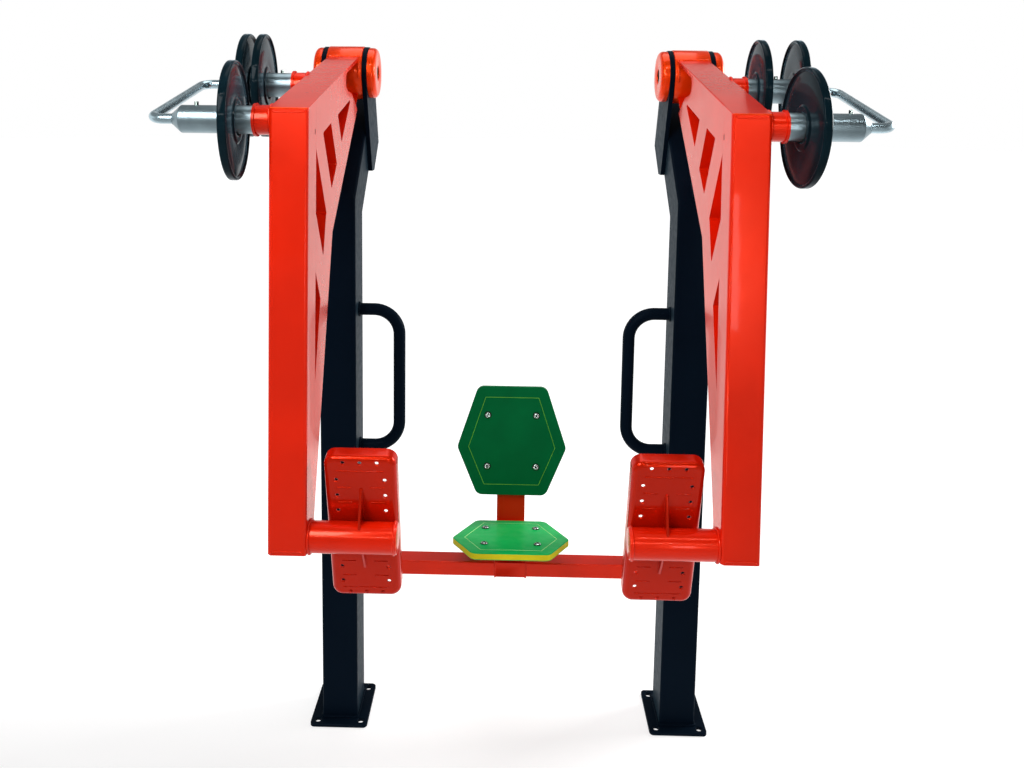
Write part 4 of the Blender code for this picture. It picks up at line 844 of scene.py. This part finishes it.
class MACHINE_OT_pedals(bpy.types.Operator):
    """Foot tubes and pressed pedal trays"""
    bl_idname = "machine.pedals"
    bl_label = "Pedals"

    def execute(self, context):
        lean = Matrix.Rotation(PEDAL_TILT, 3, "X")
        for hand, side in HANDS.items():
            centre = Vector((side * PEDAL_CENTRE.x, PEDAL_CENTRE.y, PEDAL_CENTRE.z))

            def place(x, up, back):
                return centre + lean @ Vector((x, back + PEDAL_FACE, up - PEDAL_DROP))

            self.tray(hand, place)
            self.rib(hand, place)
            self.lines(hand, place)
            self.tube(hand, side)
        return DONE

    def tray(self, hand, place):
        """A pressed tray with a round shoulder outside and in, and its holes."""
        depth, wall, corner, least_corner, press, lip, trim = 0.036, 0.004, 0.024, 0.006, 0.013, 0.0012, 0.0015
        inner, steps = press - wall, SHOULDER_STEPS
        levels = []
        for step in range(steps + 1):
            turn = math.pi / 2 * step / steps
            levels.append((press * (1 - math.sin(turn)), press * (1 - math.cos(turn))))
        levels += [(0.0, depth - trim), (lip, depth), (wall - lip, depth), (wall, depth - trim)]
        for step in range(steps + 1):
            turn = math.pi / 2 * (1 - step / steps)
            levels.append((wall + inner * (1 - math.sin(turn)), wall + inner * (1 - math.cos(turn))))
        rings = []
        for drawn, back in levels:
            outline = rounded(box_outline(PEDAL_WIDTH - 2 * drawn, PEDAL_LENGTH - 2 * drawn),
                              max(corner - drawn, least_corner), CORNER_STEPS)
            rings.append([place(point.x, point.y, back) for point in outline])
        holes = bmesh.new()
        radius = sizes().hole
        profile = ((-0.003, radius + 0.0014), (0.0, radius + lip), (lip, radius), (0.009, radius))
        for x, up in self.hole_spots():
            centre = place(x, up, 0.0)
            ahead = place(x, up, 1.0) - centre
            other = ahead.cross(ACROSS)
            turned(holes, profile, 24, lambda along, a, b: centre + ahead * along + ACROSS * a + other * b)
        mesh = carved(lofted(hand + "_tray", rings), mesh_of(holes, hand + "_tray_holes"))
        # The tray takes the deeper pedal paint: painted shade.
        weighted(piece(hand + "_pedal_paint", mesh, hand + "_arm", "red_paint", hand + "_pedal_tray",
                       finish="pedal_paint"))

    def hole_spots(self):
        """Three holes along each end, and two columns above and below the tube."""
        row, column, margin, half, pitch = 0.037, 0.0525, 0.014, PEDAL_LENGTH / 2, 0.041
        upper_start, lower_start = 0.0585, 0.0465
        spots = [(x * row, y * (half - margin)) for x in (-1, 0, 1) for y in (-1, 1)]
        heights = [half - upper_start - pitch * count for count in range(3)]
        heights += [lower_start + pitch * count - half for count in range(2)]
        return spots + [(x * column, height) for height in heights for x in (-1, 1)]

    def rib(self, hand, place):
        """The gusset between the tube and the tray, upright down the tray's middle."""
        half, ease, middle = 0.0025, 0.0008, Vector((-0.02, 0.0))
        outline = [Vector(pair) for pair in ((0.002, -0.106), (0.002, 0.112), (-0.002, 0.112), (-0.054, 0.030),
                                             (-0.054, -0.010), (-0.024, -0.046), (-0.002, -0.106))]
        rings = []
        for x, drawn in ((-half, ease), (-half + ease, 0.0), (half - ease, 0.0), (half, ease)):
            shape = [point + (middle - point).normalized() * drawn for point in outline]
            rings.append([place(x, point.y, point.x) for point in shape])
        # The rib and its welds take the deeper pedal paint: painted shade.
        piece(hand + "_pedal_rib", lofted(hand + "_rib", rings), hand + "_arm", "red_paint", finish="pedal_paint")
        paths = [([place(x, up, -0.0005) for up in run], False)
                 for x in (-half, half) for run in ((0.108, 0.048), (-0.030, -0.103))]
        weld(hand + "_rib_welds", paths, hand + "_arm", "red_paint", 0.62, 0.7, finish="pedal_paint")

    def lines(self, hand, place):
        """Pressed lines across the tray: whole ones near its ends, and pairs beside the rib."""
        whole = ((-0.051, 0.051),)
        pair = ((-0.0505, -0.022), (0.022, 0.0505))
        rows = {0.1575: whole, 0.1145: pair, 0.0750: pair, -0.0890: pair, -0.1300: pair, -0.1655: whole}
        paths = [([place(x, up, 0.0) for x in run], False) for up, runs in rows.items() for run in runs]
        # The pressed lines take the deeper pedal paint: painted shade.
        weld(hand + "_pressed_lines", paths, hand + "_arm", "red_paint", 0.45, 0.30, 0.0, finish="pedal_paint")

    def tube(self, hand, side):
        """The foot tube, its bung's bead and its weld to the arm."""
        node = hand + "_foot_tube"
        low, high, centre = box_of(node)
        near, far = reach_of(node)
        radius, middle = (high.z - low.z) / 2, (centre.y, centre.z)
        profile = eased([(0.0, 0.0), (0.0, radius), (far - near, radius), (far - near, 0.0)], 0.003)
        piece(node + "_paint", lathed(hand + "_foot", profile, 72, along_x(side, near, middle)), hand + "_arm",
              "red_paint", node)
        rings = [hoop(side * x, middle, reach, 60)
                 for x, reach in ((far - 0.0010, radius + 0.0014), (near + 0.0065, radius - 0.0005))]
        weld(node + "_welds", rings, hand + "_arm", "red_paint", 1.0, 1.0, 0.35)


class MACHINE_OT_sleeves(bpy.types.Operator):
    """Weight sleeves, tie bars and lock pins"""
    bl_idname = "machine.sleeves"
    bl_label = "Sleeves"

    def execute(self, context):
        cone, tip, ease = 0.017, 0.015, 0.0015
        for hand, side in HANDS.items():
            noses = []
            for end in ("front", "rear"):
                node = f"{hand}_{end}_weight_sleeve"
                low, high, centre = box_of(node)
                near, far = reach_of(node)
                radius, length = (high.z - low.z) / 2, far - near
                profile = [(0.0, 0.0), (0.0, radius), (length - cone, radius), (length, tip), (length, 0.0)]
                mesh = lathed(node, eased(profile, ease), 80, along_x(side, near, (centre.y, centre.z)))
                piece(node + "_turned", mesh, hand + "_arm", "silver_steel", node)
                noses.append(Vector((side * far, centre.y, centre.z)))
                self.pin(f"{hand}_{end}_lock_pin")
            self.tie_bar(hand, side, noses)
        return DONE

    def tie_bar(self, hand, side, noses):
        """A round bar from one sleeve's nose out and across to the other's."""
        radius, bend, gap, off_nose, off_bar = 0.011, 0.028, 0.0003, 0.0008, 0.001
        reach = side * (reach_of(hand + "_tie_bar")[1] - radius)
        front, rear = noses
        route = [Vector((x, nose.y, nose.z)) for x, nose in (
            (front.x + side * gap, front), (reach, front), (reach, rear), (rear.x + side * gap, rear))]
        piece(hand + "_tie_bar_steel", swept(hand + "_tie", bent(route, bend, 12), radius, 36), hand + "_arm",
              "silver_steel", hand + "_tie_bar", finish="tie_bar_steel")
        rings = [hoop(nose.x + side * off_nose, (nose.y, nose.z), radius + off_bar, 28) for nose in noses]
        weld(hand + "_tie_bar_welds", rings, hand + "_arm", "silver_steel", 0.7)

    def pin(self, node):
        """A sprung lock pin: stem, collar and a round button."""
        low, high, middle = box_of(node)
        height, collar = high.z - low.z, (high.x - low.x) / 2
        stem, button, collar_foot, collar_top = collar * 0.38, collar * 0.62, height * 0.60, height * 0.67
        profile = [(0.0, 0.0), (0.0, stem), (collar_foot, stem), (collar_foot, collar), (collar_top, collar),
                   (collar_top, button), (height - 0.0008, button), (height, 0.0)]
        mesh = lathed(node, eased(profile, 0.0007), 32,
                      lambda along, a, b: Vector((middle.x + a, middle.y + b, low.z + along)))
        piece(node + "_steel", mesh, node, "stainless", node)


class MACHINE_OT_weights(bpy.types.Operator):
    """Cast weight plates, loose on their sleeves"""
    bl_idname = "machine.weights"
    bl_label = "Weight plates"

    def execute(self, context):
        for node in sorted(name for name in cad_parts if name.endswith("_weight_plate")):
            self.plate(node)
        return DONE

    def plate(self, node):
        """A rim, a dished web and a boss round the bore, turned about the solid's own axis."""
        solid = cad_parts[node].data
        points = np.empty(len(solid.vertices) * 3)
        solid.vertices.foreach_get("co", points)
        points = points.reshape(-1, 3)
        centre = (points.max(axis=0) + points.min(axis=0)) / 2
        _, directions = np.linalg.eigh(np.cov((points - centre).T))
        axis, centre = Vector(directions[:, 0]).normalized(), Vector(centre)
        if axis.x < 0:
            axis.negate()
        across = UP.cross(axis).normalized()
        up = axis.cross(across)
        low, high, _ = box_of(node)
        radius, bore, half, web, boss, rim = (high.z - low.z) / 2, 0.0325, 0.009, 0.0056, 0.050, 0.0075
        inside = radius - rim
        face = [(half - 0.0020, bore), (half, bore + 0.0020), (half, boss - 0.004), (half - 0.0030, boss),
                (half - 0.0026, boss + 0.005), (web + 0.0012, radius * 0.70), (web, inside - 0.004),
                (web - 0.0012, inside - 0.001), (half - 0.0010, inside + 0.0012), (half, inside + 0.0030),
                (half, radius - 0.0026), (half - 0.0026, radius)]
        back = [(-along, r) for along, r in reversed(face)]
        loop = eased([(0.0, bore)] + face + [(0.0, radius)] + back + [(0.0, bore)], 0.0012, 3)[:-1]
        mesh = lathed(node, loop, 112, lambda along, a, b: centre + axis * along + across * a + up * b, closed=True)
        piece(node + "_enamel", mesh, node, "black_enamel", node)


class MACHINE_OT_seat(bpy.types.Operator):
    """Crossbeams, seat support, boards and their bolts"""
    bl_idname = "machine.seat"
    bl_label = "Seat"

    def execute(self, context):
        size = sizes()
        edge_share, long_edge, inset, away = 0.7, 0.12, 0.001, 0.0006
        for node in ("left_crossbeam", "right_crossbeam", "seat_support"):
            painted(node, "frame", "red_paint", size.edge * edge_share, size.fine_edge, long_edge)
        paths = []
        for hand, side in HANDS.items():
            low, high, _ = box_of(hand + "_crossbeam")
            near, far = reach_of(hand + "_crossbeam")
            paths += [boxed_path(side * x, (low.y, low.z), (high.y, high.z), away)
                      for x in (far - inset, near + inset)]
        weld("crossbeam_welds", paths, "frame", "red_paint", 0.85)
        back_low = box_of("backrest_board")[0]
        lean = Vector((math.sin(BACKREST_LEAN), math.cos(BACKREST_LEAN)))
        foot = Vector((back_low.y, back_low.z + BOARD_THICKNESS * lean.x))
        places = {"seat": self.place(SEAT_EDGE, Vector((math.cos(SEAT_TILT), -math.sin(SEAT_TILT)))),
                  "backrest": self.place(foot, lean)}
        for board, place in places.items():
            self.board(board, place)
        self.bolts(places)
        return DONE

    def place(self, edge, run):
        """Places a point of a board: across it, along it from its first edge, and under its top."""
        under = Vector((run.y, -run.x))
        return lambda x, along, deep: Vector((x, *(edge + run * along + under * deep)))

    def hexagon(self, drawn):
        """The board's outline drawn in from its edge: narrow ends and a widest line ahead of its middle."""
        widest = BOARD_LENGTH * BOARD_WIDEST_SHARE
        corners = [Vector(pair) for pair in (
            (-BOARD_END_HALF, 0.0), (BOARD_END_HALF, 0.0), (BOARD_HALF, widest), (BOARD_END_HALF, BOARD_LENGTH),
            (-BOARD_END_HALF, BOARD_LENGTH), (-BOARD_HALF, widest))]
        moved = []
        for index, corner in enumerate(corners):
            back = (corner - corners[index - 1]).normalized()
            ahead = (corners[(index + 1) % len(corners)] - corner).normalized()
            inward = Vector((-back.y - ahead.y, back.x + ahead.x)).normalized()
            moved.append(corner + inward * (drawn / inward.dot(Vector((-back.y, back.x)))))
        return moved

    def board(self, board, place):
        """Green skins over a core that shows yellow round the seat, with a line cut in round the top."""
        node = board + "_board"
        ease, skin_depth, corner, least_corner = 0.0022, 0.0022, 0.024, 0.004
        groove_in, groove, sunk = 0.031, sizes().groove, 0.0016
        shoulder, foot = ease * 0.3, BOARD_THICKNESS - ease
        levels = [(groove_in + groove, 0.0, least_corner), (groove_in + groove / 2, sunk, least_corner),
                  (groove_in, 0.0, least_corner)]
        levels += [(drawn, deep, corner) for drawn, deep in (
            (ease, 0.0), (shoulder, shoulder), (0.0, ease), (0.0, skin_depth + ease), (0.0, foot - skin_depth),
            (0.0, foot), (shoulder, BOARD_THICKNESS - shoulder), (ease, BOARD_THICKNESS))]
        rings = []
        for drawn, deep, radius in levels:
            outline = rounded(self.hexagon(drawn), max(radius - drawn, least_corner), CORNER_STEPS)
            rings.append([place(p.x, p.y, deep) for p in outline])
        bm = bmesh.new()
        made = skin(bm, rings)
        bands = {0: 2, 1: 2, 5: 1, 6: 1, 7: 1} if board == "seat" else {0: 2, 1: 2}  # a band's first ring and finish
        for first, finish in bands.items():
            near, far = set(made[first]), set(made[first + 1])
            for face in bm.faces:
                corners = set(face.verts)
                if corners <= near | far and corners & near and corners & far:
                    face.material_index = finish
        mesh = mesh_of(bm, node + "_sheet")
        # The backrest takes the darker skin and line: painted shade.
        skin_finish, line = ("green_board", "pale_line") if board == "seat" else ("backrest_board", "groove_line")
        for finish in (skin_finish, "yellow_core", line):
            mesh.materials.append(material(finish))
        weighted(piece(node + "_sheet", mesh, "frame", "green_board", node))

    def bolts(self, places):
        """Eight button heads with hexagon sockets, and the dark parts of each, painted shade, copied by one tree."""
        lift = 0.0003
        spots, facings, names = [], [], []
        for board, place in places.items():
            rows = ("front", "rear") if board == "seat" else ("lower", "upper")
            for row, which in zip((-1, 1), rows):
                for hand, side in HANDS.items():
                    spots.append(place(side * BOLT_ACROSS, BOARD_LENGTH / 2 + row * BOLT_ALONG, -lift))
                    facings.append(place(0.0, 0.0, -1.0) - place(0.0, 0.0, 0.0))
                    names.append(f"{board}_bolt_{which}_{hand}")
        mesh = bpy.data.meshes.new("bolt_spots")
        mesh.from_pydata(spots, [], [])
        data = mesh.attributes.new("facing", "FLOAT_VECTOR", "POINT")
        for index, facing in enumerate(facings):
            data.data[index].vector = facing
        for name, part, finish, slot, nodes in (
            ("board_bolts", self.bolt(), "stainless", "stainless", names),
            # A dark ring under each head and a dark socket floor, in near-black: painted shade.
            ("bolt_washers", self.dark_parts(), "recess", "black_rubber", []),
        ):
            one = shown(part)
            result = grown(mesh.copy(), scatter_tree, {"Piece": one, "Material": material(finish)})
            bpy.data.objects.remove(one)
            piece(name, result, "frame", slot, *nodes)
        bpy.data.meshes.remove(mesh)

    def bolt(self):
        """A domed head with a hexagon socket, a stem and a nut."""
        head, height, socket, sunk, lip = 0.009, 0.005, 0.0034, 0.0030, 0.0012
        stem, nut, nut_top, nut_foot, end = 0.004, 0.0062, -0.0236, -0.0278, -0.0290
        turns = [2 * math.pi * step / 36 for step in range(36)]

        def ring(radius, z):
            return [Vector((radius * math.cos(turn), radius * math.sin(turn), z)) for turn in turns]

        def hexagon_ring(flat, z):
            radii = [flat / math.cos(turn % (math.pi / 3) - math.pi / 6) for turn in turns]
            return [Vector((r * math.cos(turn), r * math.sin(turn), z)) for r, turn in zip(radii, turns)]

        rings = [[Vector((0, 0, height - sunk))], hexagon_ring(socket, height - sunk),
                 hexagon_ring(socket, height - 0.0002), ring(socket + lip, height)]
        for step in range(SHOULDER_STEPS + 1):
            turn = math.pi / 2 * step / SHOULDER_STEPS
            rings.append(ring(socket + lip + (head - socket - lip) * math.sin(turn),
                              lip + (height - lip) * math.cos(turn)))
        rings += [ring(head, 0.0003), ring(head - 0.0003, 0.0), ring(stem, 0.0), ring(stem, nut_top),
                  hexagon_ring(nut, nut_top), hexagon_ring(nut, nut_foot), ring(stem, nut_foot),
                  ring(stem - 0.0002, end), [Vector((0, 0, end))]]
        return lofted("bolt", rings)

    def dark_parts(self):
        """A thin dark ring under a head, standing for the shade in the gap beneath it, and the dark floor of its
        socket: both painted shade.
        """
        washer = ((0.0002, 0.0050), (0.0002, 0.0104), (0.0009, 0.0108), (0.0014, 0.0104), (0.0014, 0.0050))
        socket = ((0.0021, 0.0), (0.0021, 0.0030), (0.0030, 0.0030), (0.0030, 0.0))
        bm = bmesh.new()
        for profile, closed in ((washer, True), (socket, False)):
            turned(bm, profile, 24, lambda along, a, b: Vector((a, b, along)), closed)
        return mesh_of(bm, "washer")


class MACHINE_OT_stage(bpy.types.Operator):
    """Floor, lights, surroundings and camera"""
    bl_idname = "machine.stage"
    bl_label = "Studio"

    def execute(self, context):
        self.floor()
        self.surroundings(context.scene)
        self.lamps()
        self.camera(context.scene)
        context.scene.view_settings.view_transform = "Standard"
        return DONE

    def floor(self):
        """A pale floor that takes soft shadows close by, and glows as painted light: dimly in front, brighter
        towards the back and far off.
        """
        bm = bmesh.new()
        far_edge, under_plates = 40.0, 0.0006
        bmesh.ops.create_circle(bm, cap_ends=True, segments=96, radius=far_edge)
        mesh = plain_mesh(bm, "floor")
        look, tree, shader, place = shader_of("pale_floor")
        deep = joined(tree, "ShaderNodeSeparateXYZ", {"Vector": place}).outputs["Y"]
        away = joined(tree, "ShaderNodeVectorMath", {"Vector": place}, operation="LENGTH").outputs["Value"]
        far_glow = ranged(tree, away, 2.5, 7.0, 0.16, 0.32)
        wire(tree, shader, {
            "Base Color": clouded(tree, place, (1.0, 1.0, 1.0), 1.5, 2.0, 0.46, 0.48),
            "Roughness": 0.7, "Specular IOR Level": 0.1, "Emission Color": WHITE,
            # The floor's glow is painted light: dim in front, stronger towards the back and far off.
            "Emission Strength": ranged(tree, deep, -1.6, 1.6, far_glow, 0.95),
        })
        mesh.materials.append(look)
        floor = shown(mesh, "floor")
        floor.location.z = -under_plates

    def surroundings(self, scene):
        """White walls behind and beside, a dimmer ceiling and a dim room behind the camera."""
        world = bpy.data.worlds.new("studio")
        world.use_nodes = True
        scene.world = world
        tree = world.node_tree
        facing = joined(tree, "ShaderNodeSeparateXYZ", {
            "Vector": tree.nodes.new("ShaderNodeTexCoord").outputs["Generated"]})
        ceiling = ranged(tree, facing.outputs["Z"], 0.26, 0.50, 1.0, 0.22)
        rear = ranged(tree, facing.outputs["Y"], -0.75, 0.0, 0.23, 1.0)
        strength = joined(tree, "ShaderNodeMath", {0: ceiling, 1: rear}, operation="MULTIPLY").outputs[0]
        wire(tree, tree.nodes["Background"], {"Strength": strength, "Color": WHITE})

    def lamps(self):
        """Soft rectangles: each with its place, what it faces, its size and its watts."""
        for name, place, aim, size, power in (
            ("key_light", (-1.4, -2.1, 2.9), (-0.3, 0.0, 1.3), (1.1, 1.1), 52.0),
            ("strip_light", (0.2, -1.6, 3.4), (0.0, -0.2, 0.8), (3.0, 0.05), 14.0),
            ("line_light", (0.0, -2.7, 2.25), (0.0, 0.0, 1.0), (2.8, 0.03), 16.0),
            ("window_light", (1.0, -3.2, 1.35), (0.5, 0.0, 1.5), (0.35, 0.7), 6.0),
            ("side_light", (2.6, 0.9, 2.2), (0.0, 0.2, 1.4), (1.0, 1.0), 80.0),
            ("top_light", (0.0, 0.8, 4.4), (0.0, 0.0, 0.0), (2.4, 2.4), 42.0),
        ):
            data = bpy.data.lights.new(name, "AREA")
            data.shape, data.energy = "RECTANGLE", power
            data.size, data.size_y = size
            lamp = shown(data, name)
            lamp.location = place
            lamp.rotation_euler = (Vector(aim) - Vector(place)).to_track_quat("-Z", "Y").to_euler()

    def camera(self, scene):
        """The photograph's view, with its rise kept as a shift of the lens."""
        level = Vector((math.cos(CAMERA_YAW), math.sin(CAMERA_YAW), 0.0))
        ahead = UP.cross(level) * math.cos(CAMERA_PITCH) - UP * math.sin(CAMERA_PITCH)
        upward = level.cross(ahead)
        right = level * math.cos(CAMERA_ROLL) + upward * math.sin(CAMERA_ROLL)
        top = upward * math.cos(CAMERA_ROLL) - level * math.sin(CAMERA_ROLL)
        data = bpy.data.cameras.new("camera")
        data.sensor_fit, data.sensor_width = "HORIZONTAL", SENSOR_MM
        data.lens = CAMERA_FOCAL / PICTURE_WIDTH * SENSOR_MM
        data.shift_x = (PICTURE_WIDTH / 2 - CAMERA_MIDDLE[0]) / PICTURE_WIDTH
        data.shift_y = (CAMERA_MIDDLE[1] - PICTURE_HEIGHT / 2) / PICTURE_WIDTH
        camera = shown(data, "camera")
        camera.matrix_world = Matrix.Translation(CAMERA_PLACE) @ Matrix((right, top, -ahead)).transposed().to_4x4()
        scene.camera = camera


class MACHINE_PT_panel(bpy.types.Panel):
    """Lists the sizes, the colours and the pieces"""
    bl_idname = "MACHINE_PT_panel"
    bl_label = "Leg Machine"
    bl_space_type = "VIEW_3D"
    bl_region_type = "UI"
    bl_category = "Leg Machine"

    def draw(self, context):
        for group in (context.scene.leg_machine_sizes, context.scene.leg_machine_finish):
            box = self.layout.box()
            for name in group.__annotations__:
                box.prop(group, name)
        for operator in OPERATORS:
            self.layout.operator(operator.bl_idname)


OPERATORS = (
    MACHINE_OT_stage, MACHINE_OT_posts, MACHINE_OT_handles, MACHINE_OT_hubs, MACHINE_OT_arms, MACHINE_OT_pedals,
    MACHINE_OT_sleeves, MACHINE_OT_weights, MACHINE_OT_seat,
)
CLASSES = (MachineFinish, MachineSizes, *OPERATORS, MACHINE_PT_panel)


def register():
    for item in CLASSES:
        bpy.utils.register_class(item)
    bpy.types.Scene.leg_machine_finish = bpy.props.PointerProperty(type=MachineFinish)
    bpy.types.Scene.leg_machine_sizes = bpy.props.PointerProperty(type=MachineSizes)


def unregister():
    del bpy.types.Scene.leg_machine_sizes
    del bpy.types.Scene.leg_machine_finish
    for item in reversed(CLASSES):
        bpy.utils.unregister_class(item)


def main():
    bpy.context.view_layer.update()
    register()
    bpy.ops.machine.stage()
    bpy.ops.machine.posts()
    bpy.ops.machine.handles()
    bpy.ops.machine.hubs()
    bpy.ops.machine.arms()
    bpy.ops.machine.pedals()
    bpy.ops.machine.sleeves()
    bpy.ops.machine.weights()
    bpy.ops.machine.seat()


if __name__ == "__main__":
    main()
